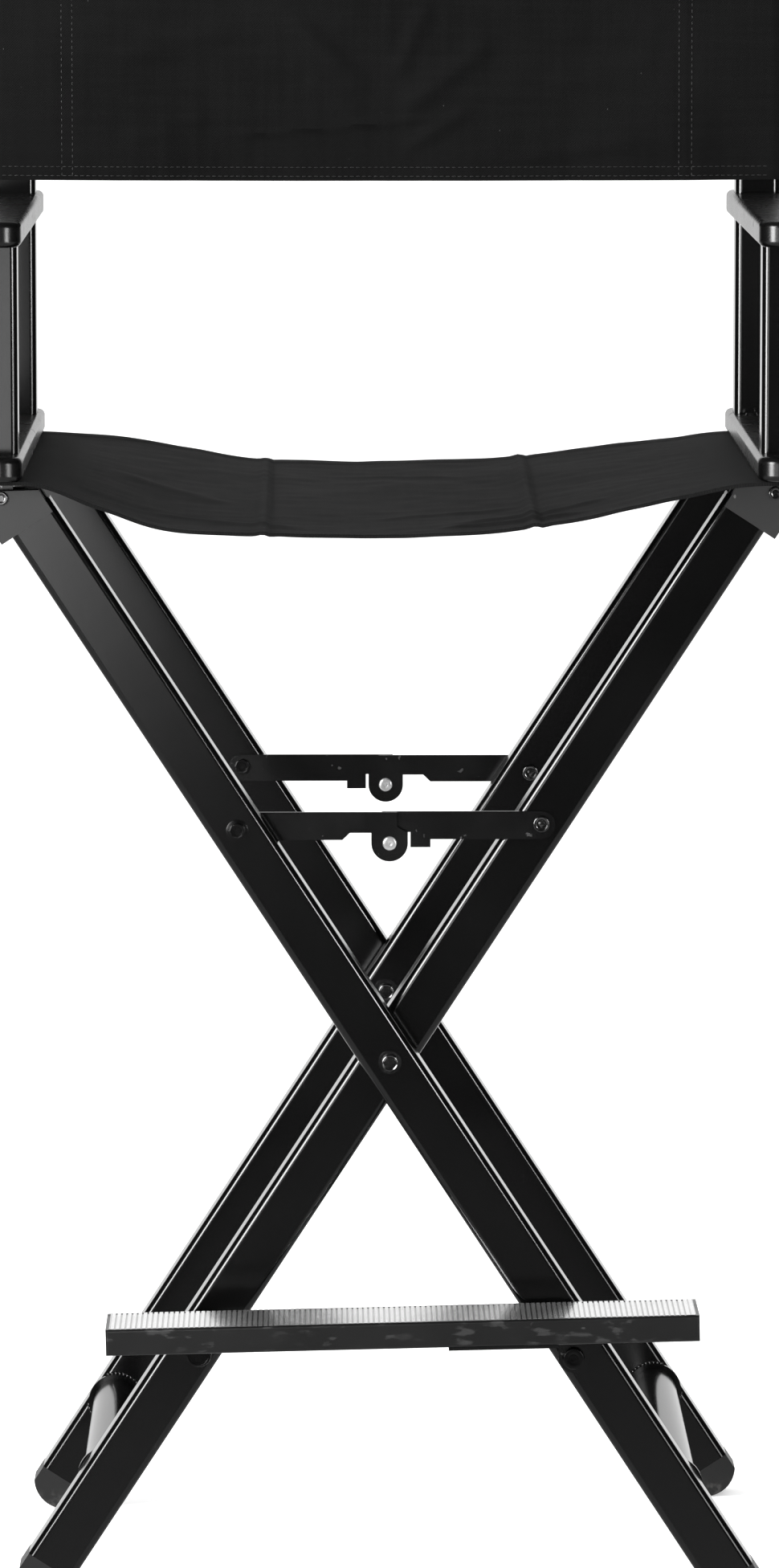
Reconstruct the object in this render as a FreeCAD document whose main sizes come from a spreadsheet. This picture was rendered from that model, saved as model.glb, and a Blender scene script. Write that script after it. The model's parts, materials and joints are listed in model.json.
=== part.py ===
import FreeCAD, Part
import math
import os
import Sketcher

doc = FreeCAD.newDocument("DirectorChair")
Vector = FreeCAD.Vector

# Driving dimensions, in millimetres and degrees.
DIMENSIONS = {
    "legAngle": 33.1,
    "legWidth": 35.0,
    "legDepth": 28.0,
    "legWall": 2.2,
    "legCorner": 4.5,
    "legTopDrop": 17.5,
    "frameGap": 7.0,
    "outerFace": 185.0,
    "footReach": 420.0,
    "footRadius": 21.5,
    "footCapHeight": 12.0,
    "footPlugLength": 18.0,
    "tubeReach": 352.0,
    "tubeRadius": 16.0,
    "tubeWall": 1.8,
    "flangeRadius": 19.5,
    "flangeThick": 3.0,
    "pinReach": 456.9,
    "pinOffset": 8.8,
    "pinRadius": 3.0,
    "pinHeadRadius": 4.6,
    "pinHeadThick": 2.0,
    "earThick": 3.0,
    "earOuter": 25.4,
    "earInner": 14.9,
    "earDrop": 26.0,
    "earRise": 5.4,
    "lugWidth": 15.0,
    "lugDepth": 14.0,
    "pinToRail": 12.5,
    "runClearance": 0.08,
    "movingGap": 0.4,
    "railLength": 430.0,
    "railWidth": 46.0,
    "railThick": 16.0,
    "railInset": 15.0,
    "railCorner": 14.0,
    "railEdge": 4.0,
    "socketDepth": 5.0,
    "postWidth": 31.0,
    "postDepth": 28.0,
    "postInset": 19.5,
    "postOffset": 165.0,
    "armHeight": 138.0,
    "armThick": 17.0,
    "backRise": 186.0,
    "capThick": 3.0,
    "screwRadius": 2.5,
    "screwHeadRadius": 4.5,
    "screwHeadThick": 2.0,
    "screwLength": 18.5,
    "seatSag": 30.0,
    "seatLength": 416.0,
    "seatFlat": 25.0,
    "seatHem": 36.0,
    "canvasThick": 2.0,
    "backGap": 10.0,
    "backHeight": 174.0,
    "boltRadius": 4.0,
    "boltHeadRadius": 5.6,
    "boltHeadThick": 3.4,
    "washerRadius": 7.4,
    "washerThick": 1.2,
    "spacerRadius": 13.0,
    "nutRadius": 6.6,
    "nutThick": 5.0,
    "braceReach": 186.0,
    "braceDrop": 12.5,
    "braceThick": 2.4,
    "braceRib": 0.8,
    "braceRise": 8.6,
    "braceDepth": 10.2,
    "braceStep": 5.4,
    "braceStepAt": 70.0,
    "braceLug": 12.2,
    "braceStopAt": 14.0,
    "braceStopWidth": 13.4,
    "braceStopDrop": 15.6,
    "braceBoltRadius": 3.0,
    "rivetRadius": 3.0,
    "rivetHeadRadius": 4.8,
    "rivetHeadThick": 1.4,
    "boardLength": 393.6,
    "boardWidth": 58.0,
    "boardThick": 17.5,
    "boardShift": 8.6,
    "boardRise": 17.6,
    "boardTilt": 1.35,
    "boardGap": 5.8,
    "boardLip": 2.2,
    "treadThick": 1.6,
    "treadPitch": 3.5,
    "treadGroove": 1.1,
    "treadCut": 0.7,
    "restReach": 234.1,
    "restAside": 6.0,
    "restBoltRadius": 3.5,
    "restTabRadius": 10.0,
    "restTabThick": 3.0,
    "restTabWidth": 40.0,
    "restTabShoulder": 19.0,
    "restFootReach": 84.0,
    "restTongueEnd": 11.5,
    "restTongueDepth": 57.0,
    "restScrewInset": 14.0,
    "restTabDrop": 11.5,
    "pegReach": 234.4,
    "pegRadius": 5.0,
    "pegHeadRadius": 8.4,
    "pegHeadThick": 2.4,
    "hookInner": 13.0,
    "hookOuter": 14.0,
    "hookScrewInner": 6.0,
    "hookScrewOuter": 8.0,
    "bracketFoot": 22.0,
    "bracketFootThick": 2.2,
    "fitGap": 0.05,
}


class Size:
    """A number together with the sheet expression that gives it."""

    def __init__(self, value, text):
        self.value = value
        self.text = text

    def __add__(self, other):
        other = as_size(other)
        return Size(self.value + other.value, f"({self.text} + {other.text})")

    def __radd__(self, other):
        return as_size(other) + self

    def __sub__(self, other):
        other = as_size(other)
        return Size(self.value - other.value, f"({self.text} - {other.text})")

    def __rsub__(self, other):
        return as_size(other) - self

    def __mul__(self, other):
        other = as_size(other)
        return Size(self.value * other.value, f"({self.text} * {other.text})")

    def __rmul__(self, other):
        return as_size(other) * self

    def __truediv__(self, other):
        other = as_size(other)
        return Size(self.value / other.value, f"({self.text} / {other.text})")

    def __neg__(self):
        return Size(-self.value, f"(0 - {self.text})")


def as_size(number):
    """Gives a plain number the same form as a sheet size."""
    if isinstance(number, Size):
        return number
    return Size(float(number), f"({float(number)})")


def sine(angle):
    return Size(math.sin(math.radians(angle.value)), f"sin({angle.text})")


def cosine(angle):
    return Size(math.cos(math.radians(angle.value)), f"cos({angle.text})")


def root(number):
    return Size(math.sqrt(number.value), f"sqrt({number.text})")


def make_sheet():
    """Writes the driving dimensions to the sheet and returns them as sizes."""
    sheet = doc.addObject("Spreadsheet::Sheet", "Dims")
    for row, (alias, number) in enumerate(DIMENSIONS.items(), start=1):
        sheet.set(f"A{row}", alias)
        sheet.set(f"B{row}", str(number))
        sheet.setAlias(f"B{row}", alias)
    doc.recompute()
    return {alias: Size(sheet.get(alias), f"Dims.{alias}") for alias in DIMENSIONS}


D = make_sheet()
HALF = 0.5
XY, XZ = "XY_Plane", "XZ_Plane"

# Derived positions shared by several pieces.
SIN, COS = sine(D["legAngle"]), cosine(D["legAngle"])
PIVOT_Z = D["footReach"] * COS + D["footRadius"]
PIN_X = D["pinReach"] * SIN + D["pinOffset"] * COS
PIN_Z = PIVOT_Z + D["pinReach"] * COS - D["pinOffset"] * SIN
OUTER_Y = D["outerFace"] - D["legDepth"] * HALF
INNER_Y = OUTER_Y - D["legDepth"] - D["frameGap"]
OUTER_BACK = OUTER_Y - D["legDepth"] * HALF
INNER_FACE = INNER_Y + D["legDepth"] * HALF
INNER_BACK = INNER_Y - D["legDepth"] * HALF
LEG_TOP = D["pinReach"] - D["legTopDrop"]
RAIL_BOTTOM = PIN_Z + D["pinToRail"]
RAIL_TOP = RAIL_BOTTOM + D["railThick"]
ARM_BOTTOM = RAIL_TOP + D["armHeight"]
ARM_TOP = ARM_BOTTOM + D["armThick"]
RAIL_INNER = PIN_X - D["railInset"]
RAIL_X = RAIL_INNER + D["railWidth"] * HALF
POST_X = RAIL_INNER + D["postInset"]
BRACE_X = D["braceReach"] * SIN
BRACE_Z = PIVOT_Z + D["braceReach"] * COS
REST_X = D["restReach"] * SIN - D["restAside"] * COS
REST_Z = PIVOT_Z - D["restReach"] * COS - D["restAside"] * SIN
PEG_X = D["pegReach"] * SIN
PEG_Z = PIVOT_Z - D["pegReach"] * COS
BOARD_BACK = D["outerFace"] + D["boardGap"]
PARTS = []


def new_body(label, x=0, y=0, z=0, tilt=0):
    """Starts a body that stands at a point, turned about the depth axis."""
    body = doc.addObject("PartDesign::Body", label)
    body.Label = label
    base = Vector(as_size(x).value, as_size(y).value, as_size(z).value)
    body.Placement = FreeCAD.Placement(base, FreeCAD.Rotation(Vector(0, 1, 0), as_size(tilt).value))
    PARTS.append(body)
    return body


def origin_part(body, role):
    return next(item for item in body.Origin.OriginFeatures if item.Role == role)


def new_sketch(body, plane, offset=0):
    """Attaches a sketch to one of the body's own planes, moved along its normal."""
    sketch = body.newObject("Sketcher::SketchObject", "Outline")
    sketch.AttachmentSupport = [(origin_part(body, plane), "")]
    sketch.MapMode = "FlatFace"
    offset = as_size(offset)
    sketch.AttachmentOffset = FreeCAD.Placement(Vector(0, 0, offset.value), FreeCAD.Rotation())
    sketch.setExpression("AttachmentOffset.Base.z", offset.text)
    return sketch


def bind(sketch, constraint, size):
    index = sketch.addConstraint(constraint)
    sketch.setExpression(f"Constraints[{index}]", size.text)


def pin_point(sketch, element, end, point):
    """Ties one end of an element to its distances from the sketch origin."""
    across, up = as_size(point[0]), as_size(point[1])
    bind(sketch, Sketcher.Constraint("DistanceX", -1, 1, element, end, across.value), across)
    bind(sketch, Sketcher.Constraint("DistanceY", -1, 1, element, end, up.value), up)


def arc_between(start, end, radius, side):
    """An arc from start to end that bulges to one side; a half circle where radius is None."""
    chord = end - start
    half = chord.Length / 2
    bulge = half
    if radius is not None:
        bulge = radius.value - math.sqrt(radius.value * radius.value - half * half)
    normal = Vector(chord.y, -chord.x, 0).normalize()
    return Part.Arc(start, (start + end) / 2 + normal * bulge * side, end)


def bind_arc(sketch, element, radius, start, end):
    """Ties an arc to its radius, or a half circle's centre to the line between its ends."""
    if radius is not None:
        bind(sketch, Sketcher.Constraint("Radius", element, radius.value), radius)
        return
    level = abs(as_size(start[1]).value - as_size(end[1]).value) < 1e-6
    kind, place = ("DistanceY", as_size(start[1])) if level else ("DistanceX", as_size(start[0]))
    bind(sketch, Sketcher.Constraint(kind, -1, 1, element, 3, place.value), place)


def draw_outline(sketch, points, arcs=None):
    """Draws a closed outline; arcs gives (radius, side) for the sides that are curved."""
    arcs = arcs or {}
    corners = [Vector(as_size(x).value, as_size(y).value, 0) for x, y in points]
    count = len(corners)
    ends = []
    for side in range(count):
        start, end = corners[side], corners[(side + 1) % count]
        if side in arcs:
            radius, bulge = arcs[side]
            element = sketch.addGeometry(arc_between(start, end, radius, bulge))
            forward = (sketch.getPoint(element, 1) - start).Length < 1e-4
            ends.append((element, 1 if forward else 2, 2 if forward else 1))
        else:
            ends.append((sketch.addGeometry(Part.LineSegment(start, end)), 1, 2))
    for side in range(count):
        following = ends[(side + 1) % count]
        sketch.addConstraint(
            Sketcher.Constraint("Coincident", ends[side][0], ends[side][2], following[0], following[1])
        )
        pin_point(sketch, ends[side][0], ends[side][1], points[side])
    for side, (radius, _) in arcs.items():
        bind_arc(sketch, ends[side][0], radius, points[side], points[(side + 1) % count])


def draw_box(sketch, left, bottom, right, top):
    draw_outline(sketch, [(left, bottom), (right, bottom), (right, top), (left, top)])


def draw_circle(sketch, centre, radius):
    radius = as_size(radius)
    middle = Vector(as_size(centre[0]).value, as_size(centre[1]).value, 0)
    element = sketch.addGeometry(Part.Circle(middle, Vector(0, 0, 1), radius.value))
    bind(sketch, Sketcher.Constraint("Radius", element, radius.value), radius)
    pin_point(sketch, element, 3, centre)


def pad(body, sketch, length, symmetric=False):
    """Raises a sketch along its normal, or evenly to both sides of its plane."""
    feature = body.newObject("PartDesign::Pad", "Pad")
    feature.Profile = sketch
    if symmetric:
        feature.SideType = "Symmetric"
    feature.setExpression("Length", as_size(length).text)
    sketch.Visibility = False
    doc.recompute()
    return feature


def cut_through(body, sketch):
    """Cuts a sketch through the whole body on both sides of its plane."""
    feature = body.newObject("PartDesign::Pocket", "Cut")
    feature.Profile = sketch
    feature.Type = "ThroughAll"
    feature.SideType = "Symmetric"
    doc.recompute()
    return feature


def cut_slot(body, sketch, width):
    """Cuts a sketch to a given width, centred on its plane."""
    feature = body.newObject("PartDesign::Pocket", "Slot")
    feature.Profile = sketch
    feature.SideType = "Symmetric"
    feature.setExpression("Length", as_size(width).text)
    doc.recompute()
    return feature


def turn(body, sketch):
    """Turns a sketch a full circle about its upright axis."""
    feature = body.newObject("PartDesign::Revolution", "Turned")
    feature.Profile = sketch
    feature.ReferenceAxis = (sketch, ["V_Axis"])
    feature.Angle = 360
    doc.recompute()
    return feature


def round_edges(body, feature, radius, chosen):
    """Rounds the edges of a feature that a test picks out."""
    names = [f"Edge{n}" for n, edge in enumerate(feature.Shape.Edges, start=1) if chosen(edge)]
    fillet = body.newObject("PartDesign::Fillet", "Rounded")
    fillet.Base = (feature, names)
    fillet.setExpression("Radius", radius.text)
    doc.recompute()
    return fillet


def repeat(body, feature, axis, distance):
    """Makes a second copy of a feature a set distance away."""
    pattern = body.newObject("PartDesign::LinearPattern", "Pair")
    pattern.Originals = [feature]
    pattern.Direction = (origin_part(body, axis), [""])
    pattern.Occurrences = 2
    pattern.setExpression("Length", distance.text)
    body.Tip = pattern
    doc.recompute()
    return pattern


def mirror_in_depth(body, *features):
    """Copies features to the other side of the body's XZ plane."""
    mirrored = body.newObject("PartDesign::Mirrored", "Mirrored")
    mirrored.Originals = list(features)
    mirrored.MirrorPlane = (origin_part(body, XZ), [""])
    body.Tip = mirrored
    doc.recompute()
    return mirrored


def runs_along(edge, direction):
    """True for a straight edge that lies along a direction."""
    if not isinstance(edge.Curve, Part.Line):
        return False
    return edge.tangentAt(edge.FirstParameter).cross(direction).Length < 1e-6


def is_level(edge):
    """True for an edge that lies in a level plane."""
    box = edge.BoundBox
    return box.ZLength < 1e-4


UP = Vector(0, 0, 1)
DEPTH = Vector(0, 1, 0)


def tube_body(label, width, depth, low, high, placing, bores=()):
    """A hollow section with rounded corners, bored through from front to back."""
    body = new_body(label, *placing)
    outline = new_sketch(body, XY, low)
    draw_box(outline, -width * HALF, -depth * HALF, width * HALF, depth * HALF)
    section = pad(body, outline, high - low)
    round_edges(body, section, D["legCorner"], lambda edge: runs_along(edge, UP))
    hollow = new_sketch(body, XY)
    inside_x = width * HALF - D["legWall"]
    inside_y = depth * HALF - D["legWall"]
    draw_box(hollow, -inside_x, -inside_y, inside_x, inside_y)
    cut_through(body, hollow)
    for across, along, radius in bores:
        bore = new_sketch(body, XZ)
        draw_circle(bore, (across, along), radius)
        cut_through(body, bore)
    return body


def turned_body(label, outline_points, placing, copy_distance=None):
    """A round piece whose axis runs from front to back, from (radius, depth) points."""
    body = new_body(label, *placing)
    outline = new_sketch(body, XY)
    draw_outline(outline, outline_points)
    piece = turn(body, outline)
    if copy_distance is not None:
        repeat(body, piece, "Y_Axis", copy_distance)
    return body


def ring_points(inner, outer, start, end):
    return [(inner, start), (outer, start), (outer, end), (inner, end)]


def headed_points(shank, head, start, head_end, end):
    """Outline of a headed pin: the head from start to head_end, the shank on to end."""
    return [(0, start), (head, start), (head, head_end), (shank, head_end), (shank, end), (0, end)]


def bolt_points(shank, face, end):
    """Outline of a bolt whose head and washer stand in front of a face."""
    washer_front = face - D["washerThick"]
    head_front = washer_front - D["boltHeadThick"]
    return [
        (0, head_front),
        (D["boltHeadRadius"], head_front),
        (D["boltHeadRadius"], washer_front),
        (D["washerRadius"], washer_front),
        (D["washerRadius"], face),
        (shank, face),
        (shank, end),
        (0, end),
    ]


# ---- Cross legs -----------------------------------------------------------


def make_leg(name, place, side, depth, bores):
    """One straight leg; side is -1 where its top leans left and 1 where it leans right."""
    leg_end = -(D["footReach"] + foot_corner() - D["footCapHeight"])
    placing = (0, depth, PIVOT_Z, D["legAngle"] * side)
    return tube_body(f"{name}_{place}_leg", D["legWidth"], D["legDepth"], leg_end, LEG_TOP, placing, bores)


def foot_corner():
    """How far past its arc's centre a foot meets the flat of the leg."""
    half = D["legWidth"] * HALF
    return root(D["footRadius"] * D["footRadius"] - half * half)


def make_foot_caps(name, side, depth):
    """Two domed end caps with plugs, on the front and rear legs of a frame."""
    body = new_body(f"{name}_foot_caps", 0, 0, PIVOT_Z, D["legAngle"] * side)
    half = D["legWidth"] * HALF
    corner = -(D["footReach"] + foot_corner())
    seam = corner + D["footCapHeight"]
    outline = new_sketch(body, XZ, depth)
    dome = {0: (D["footRadius"], -1)}
    draw_outline(outline, [(half, corner), (-half, corner), (-half, seam), (half, seam)], dome)
    cap = pad(body, outline, D["legDepth"], symmetric=True)
    plug = new_sketch(body, XZ, depth)
    plug_half = half - D["legWall"] - 0.1
    draw_box(plug, -plug_half, seam, plug_half, seam + D["footPlugLength"])
    plug_pad = pad(body, plug, D["legDepth"] - 2 * D["legWall"] - 0.2, symmetric=True)
    mirror_in_depth(body, cap, plug_pad)


def make_cross_tube(name, side, reach):
    """The round tube between the front and rear legs, and its two end flanges."""
    placing = (-D["tubeReach"] * SIN * side, 0, PIVOT_Z - D["tubeReach"] * COS)
    inside = D["tubeRadius"] - D["tubeWall"]
    turned_body(f"{name}_cross_tube", ring_points(inside, D["tubeRadius"], -reach, reach), placing)
    start = -reach
    flange = ring_points(D["tubeRadius"] + D["fitGap"], D["flangeRadius"], start, start + D["flangeThick"])
    turned_body(f"{name}_tube_flanges", flange, placing, 2 * reach - D["flangeThick"])


def ear_top(across):
    """Height of the ear's level top edge above the pin, at a place across the leg."""
    return (D["earRise"] - across * SIN) / COS


def make_knuckle(name, place, side, depth):
    """A cast bracket on a leg's top: it wraps the outer side and forks around the rail lug."""
    body = new_body(f"{name}_{place}_knuckle", 0, depth, PIVOT_Z, D["legAngle"] * side)
    pin_at = D["pinOffset"] * side
    outer = D["earOuter"] * side
    inner = -D["earInner"] * side
    low = D["pinReach"] - D["earDrop"]
    inner_reach = D["earInner"] + D["pinOffset"]
    flat = D["pinReach"] + D["earRise"]
    outline = new_sketch(body, XZ)
    points = [
        (outer, low),
        (inner, low),
        (inner, D["pinReach"] + ear_top(inner_reach)),
        (pin_at, flat),
        (outer - 4 * side, flat),
        (outer, flat - 5),
    ]
    draw_outline(outline, points)
    pad(body, outline, D["legDepth"] + 2 * D["earThick"], symmetric=True)
    seat = new_sketch(body, XZ)
    wrap = D["legWidth"] * HALF + D["fitGap"]
    draw_box(seat, -wrap, low - 5, wrap, LEG_TOP + D["fitGap"])
    cut_slot(body, seat, D["legDepth"] + 0.1)
    fork = new_sketch(body, XZ)
    draw_box(fork, -2 * D["earOuter"], LEG_TOP - 0.5, 2 * D["earOuter"], flat + D["earOuter"])
    cut_slot(body, fork, D["lugDepth"] + 2 * D["movingGap"])
    bore = new_sketch(body, XZ)
    draw_circle(bore, (pin_at, D["pinReach"]), D["pinRadius"])
    cut_through(body, bore)


def make_knuckle_pins(name, side, depth):
    """The two pins that join a frame's knuckles to its side rail, heads to the front."""
    half = D["legDepth"] * HALF + D["earThick"]
    front = -depth - half
    points = headed_points(
        D["pinRadius"], D["pinHeadRadius"], front - D["pinHeadThick"], front, -depth + half
    )
    turned_body(f"{name}_knuckle_pins", points, (PIN_X * side, 0, PIN_Z), 2 * depth)


def make_legs():
    """Both cross frames. The outer frame's tops lean left, the inner frame's lean right."""
    fit = D["fitGap"]
    pivot_fit = D["boltRadius"] + D["runClearance"]
    brace_fit = D["braceBoltRadius"] + fit
    rest_bore = (-D["restAside"], -D["restReach"], D["restBoltRadius"] + fit)
    peg_bore = (0, -D["pegReach"], D["pegRadius"] + fit)
    outer_bores = [(0, 0, D["boltRadius"] + fit), (0, D["braceReach"], brace_fit)]
    inner_bores = [(0, 0, pivot_fit), (0, D["braceReach"], brace_fit)]
    make_leg("outer", "front", -1, -OUTER_Y, outer_bores + [rest_bore])
    make_leg("outer", "rear", -1, OUTER_Y, outer_bores)
    make_leg("inner", "front", 1, -INNER_Y, inner_bores + [peg_bore])
    make_leg("inner", "rear", 1, INNER_Y, inner_bores)
    for name, side, depth in (("outer", -1, OUTER_Y), ("inner", 1, INNER_Y)):
        make_foot_caps(name, side, depth)
        make_cross_tube(name, side, depth - D["legDepth"] * HALF)
        make_knuckle(name, "front", side, -depth)
        make_knuckle(name, "rear", side, depth)
        make_knuckle_pins(name, side, depth)


# ---- Cross pivots ---------------------------------------------------------


def make_pivots():
    """Bolts through both frames, heads to the front, spacers in the gap, nuts behind."""
    placing = (0, 0, PIVOT_Z)
    front = -D["outerFace"]
    gap = D["movingGap"]
    bolt_end = -INNER_BACK + gap + D["nutThick"]
    head_front = front - D["washerThick"] - D["boltHeadThick"]
    washer = ring_points(D["boltRadius"], D["washerRadius"] + 0.4, front - D["washerThick"], front)
    head = headed_points(
        D["boltRadius"], D["boltHeadRadius"], head_front, front - D["washerThick"], bolt_end
    )
    nut = ring_points(D["boltRadius"], D["nutRadius"], -INNER_BACK + gap, bolt_end)
    make_pivot_bolts(head, placing)
    make_pivot_washers(washer, placing)
    spacer = ring_points(D["boltRadius"] + D["fitGap"], D["spacerRadius"], -OUTER_BACK, -INNER_FACE - gap)
    turned_body("pivot_spacers", spacer, placing, OUTER_BACK + INNER_FACE + gap)
    make_pivot_nuts(nut, placing)


def make_pivot_bolts(front_points, placing):
    """The front bolt's head stands on the outer leg, the rear bolt's on the inner leg."""
    body = turned_body("pivot_bolts", front_points, placing)
    gap = D["movingGap"]
    face = INNER_BACK - gap - D["washerThick"]
    points = headed_points(
        D["boltRadius"], D["boltHeadRadius"], face - D["boltHeadThick"], face, D["outerFace"] + D["nutThick"]
    )
    rear = new_sketch(body, XY)
    draw_outline(rear, points)
    turn(body, rear)


def make_pivot_washers(front_points, placing):
    """A washer under each bolt head."""
    body = turned_body("pivot_washers", front_points, placing)
    face = INNER_BACK - D["movingGap"]
    rear = new_sketch(body, XY)
    outer = D["washerRadius"] + 1.4
    draw_outline(rear, ring_points(D["boltRadius"], outer, face - D["washerThick"], face))
    turn(body, rear)


def make_pivot_nuts(front_points, placing):
    """The front nut stands behind the inner leg, the rear nut behind the outer leg."""
    body = turned_body("pivot_nuts", front_points, placing)
    face = D["outerFace"]
    rear = new_sketch(body, XY)
    draw_outline(rear, ring_points(D["boltRadius"], D["nutRadius"], face, face + D["nutThick"]))
    turn(body, rear)


# ---- Side frames ----------------------------------------------------------


def board_body(label, side, low, thick):
    """A rail or armrest: a flat board with rounded corners and soft edges."""
    body = new_body(label, RAIL_X * side, 0, low)
    half_width = D["railWidth"] * HALF
    half_length = D["railLength"] * HALF
    outline = new_sketch(body, XY)
    draw_box(outline, -half_width, -half_length, half_width, half_length)
    board = pad(body, outline, thick)
    corners = round_edges(body, board, D["railCorner"], lambda edge: runs_along(edge, UP))
    round_edges(body, corners, D["railEdge"], is_level)
    return body


def cut_socket(body, side, depth, low, high):
    """Cuts a socket for a post into a board between two heights."""
    across = (POST_X - RAIL_X) * side
    half_x = D["postWidth"] * HALF + D["fitGap"]
    half_y = D["postDepth"] * HALF + D["fitGap"]
    socket = new_sketch(body, XY, (low + high) * HALF)
    draw_box(socket, across - half_x, depth - half_y, across + half_x, depth + half_y)
    cut_slot(body, socket, high - low)


def make_rail(name, side, lug_depth):
    """The seat rail, with sockets for the posts and holes for the lug screws."""
    body = board_body(f"{name}_seat_rail", side, RAIL_BOTTOM, D["railThick"])
    top = D["railThick"]
    cut_socket(body, side, -D["postOffset"], top - D["socketDepth"], top + 1)
    cut_socket(body, side, D["postOffset"], top - D["socketDepth"], top + 1)
    across = (PIN_X - RAIL_X) * side
    holes = new_sketch(body, XY)
    for depth in (-lug_depth, lug_depth):
        draw_circle(holes, (across, depth), D["screwRadius"] + D["fitGap"])
    cut_through(body, holes)


def make_armrest(name, side):
    """The armrest: a socket under the front, a way through for the back post."""
    body = board_body(f"{name}_armrest", side, ARM_BOTTOM, D["armThick"])
    cut_socket(body, side, -D["postOffset"], as_size(-1), D["socketDepth"])
    cut_socket(body, side, D["postOffset"], as_size(-1), D["armThick"] + 1)


def make_posts(name, side):
    """The front post, and the back post that runs on above the armrest, with its cap."""
    low = RAIL_TOP - D["socketDepth"] + D["fitGap"]
    width, depth = D["postWidth"], D["postDepth"]
    front_top = ARM_BOTTOM + D["socketDepth"] - D["fitGap"]
    back_top = ARM_TOP + D["backRise"]
    front = (POST_X * side, -D["postOffset"], 0)
    back = (POST_X * side, D["postOffset"], 0)
    tube_body(f"{name}_front_post", width, depth, low, front_top, front)
    tube_body(f"{name}_back_post", width, depth, low, back_top, back)
    body = new_body(f"{name}_post_cap", POST_X * side, D["postOffset"], back_top)
    outline = new_sketch(body, XY)
    draw_box(outline, -width * HALF, -depth * HALF, width * HALF, depth * HALF)
    lid = pad(body, outline, D["capThick"])
    round_edges(body, lid, D["legCorner"], lambda edge: runs_along(edge, UP))
    plug = new_sketch(body, XY, -D["footPlugLength"] * HALF)
    half_x = width * HALF - D["legWall"] - 0.1
    half_y = depth * HALF - D["legWall"] - 0.1
    draw_box(plug, -half_x, -half_y, half_x, half_y)
    pad(body, plug, D["footPlugLength"] * HALF)


def make_lug(label, side, depth):
    """A hinge lug under the rail, round at its pin."""
    body = new_body(label, PIN_X * side, depth, PIN_Z)
    half = D["lugWidth"] * HALF
    outline = new_sketch(body, XZ)
    points = [(-half, 0), (half, 0), (half, D["pinToRail"]), (-half, D["pinToRail"])]
    draw_outline(outline, points, {0: (None, 1)})
    pad(body, outline, D["lugDepth"], symmetric=True)
    bore = new_sketch(body, XZ)
    draw_circle(bore, (0, 0), D["pinRadius"] + D["runClearance"])
    cut_through(body, bore)


def make_lug_screws(name, side, depth):
    """Screws down through the rail into its two lugs."""
    body = new_body(f"{name}_lug_screws", PIN_X * side, -depth, RAIL_TOP)
    outline = new_sketch(body, XZ)
    head = D["screwHeadThick"]
    points = [
        (0, -D["screwLength"]),
        (D["screwRadius"], -D["screwLength"]),
        (D["screwRadius"], 0),
        (D["screwHeadRadius"], 0),
        (D["screwHeadRadius"] - 1, head),
        (0, head),
    ]
    draw_outline(outline, points)
    screw = turn(body, outline)
    repeat(body, screw, "Y_Axis", 2 * depth)


def cut_screw_seats():
    """Blind holes in the lugs for their screws."""
    for body in PARTS:
        if body.Label.endswith("_lug"):
            seat = new_sketch(body, XY, D["pinToRail"])
            draw_circle(seat, (0, 0), D["screwRadius"])
            cut_slot(body, seat, 2 * (D["screwLength"] - D["railThick"]))


def make_sides():
    """Both side frames; the left lugs meet the outer frame, the right the inner."""
    for name, side, depth in (("left", -1, OUTER_Y), ("right", 1, INNER_Y)):
        make_armrest(name, side)
        make_rail(name, side, depth)
        make_posts(name, side)
        make_lug(f"{name}_front_lug", side, -depth)
        make_lug(f"{name}_rear_lug", side, depth)
        make_lug_screws(name, side, depth)
    cut_screw_seats()


# ---- Canvas ---------------------------------------------------------------


def make_seat_canvas():
    """A sling between the rails: flat hems under them, slots around the lugs."""
    body = new_body("seat_canvas", 0, 0, RAIL_BOTTOM - D["movingGap"])
    outer = RAIL_INNER + D["seatHem"]
    flat = PIN_X - D["seatFlat"]
    thick = D["canvasThick"]
    sag_radius = (flat * flat + D["seatSag"] * D["seatSag"]) / (2 * D["seatSag"])
    points = [
        (-outer, -thick),
        (-flat, -thick),
        (flat, -thick),
        (outer, -thick),
        (outer, 0),
        (flat, 0),
        (-flat, 0),
        (-outer, 0),
    ]
    outline = new_sketch(body, XZ)
    draw_outline(outline, points, {1: (sag_radius, 1), 5: (sag_radius, -1)})
    pad(body, outline, D["seatLength"], symmetric=True)
    slots = new_sketch(body, XY)
    half_x = D["lugWidth"] * HALF + D["movingGap"]
    half_y = D["lugDepth"] * HALF + D["movingGap"]
    for side, depth in ((-1, OUTER_Y), (1, INNER_Y)):
        for end in (-1, 1):
            centre_x = PIN_X * side
            centre_y = depth * end
            draw_box(slots, centre_x - half_x, centre_y - half_y, centre_x + half_x, centre_y + half_y)
    cut_through(body, slots)


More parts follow.
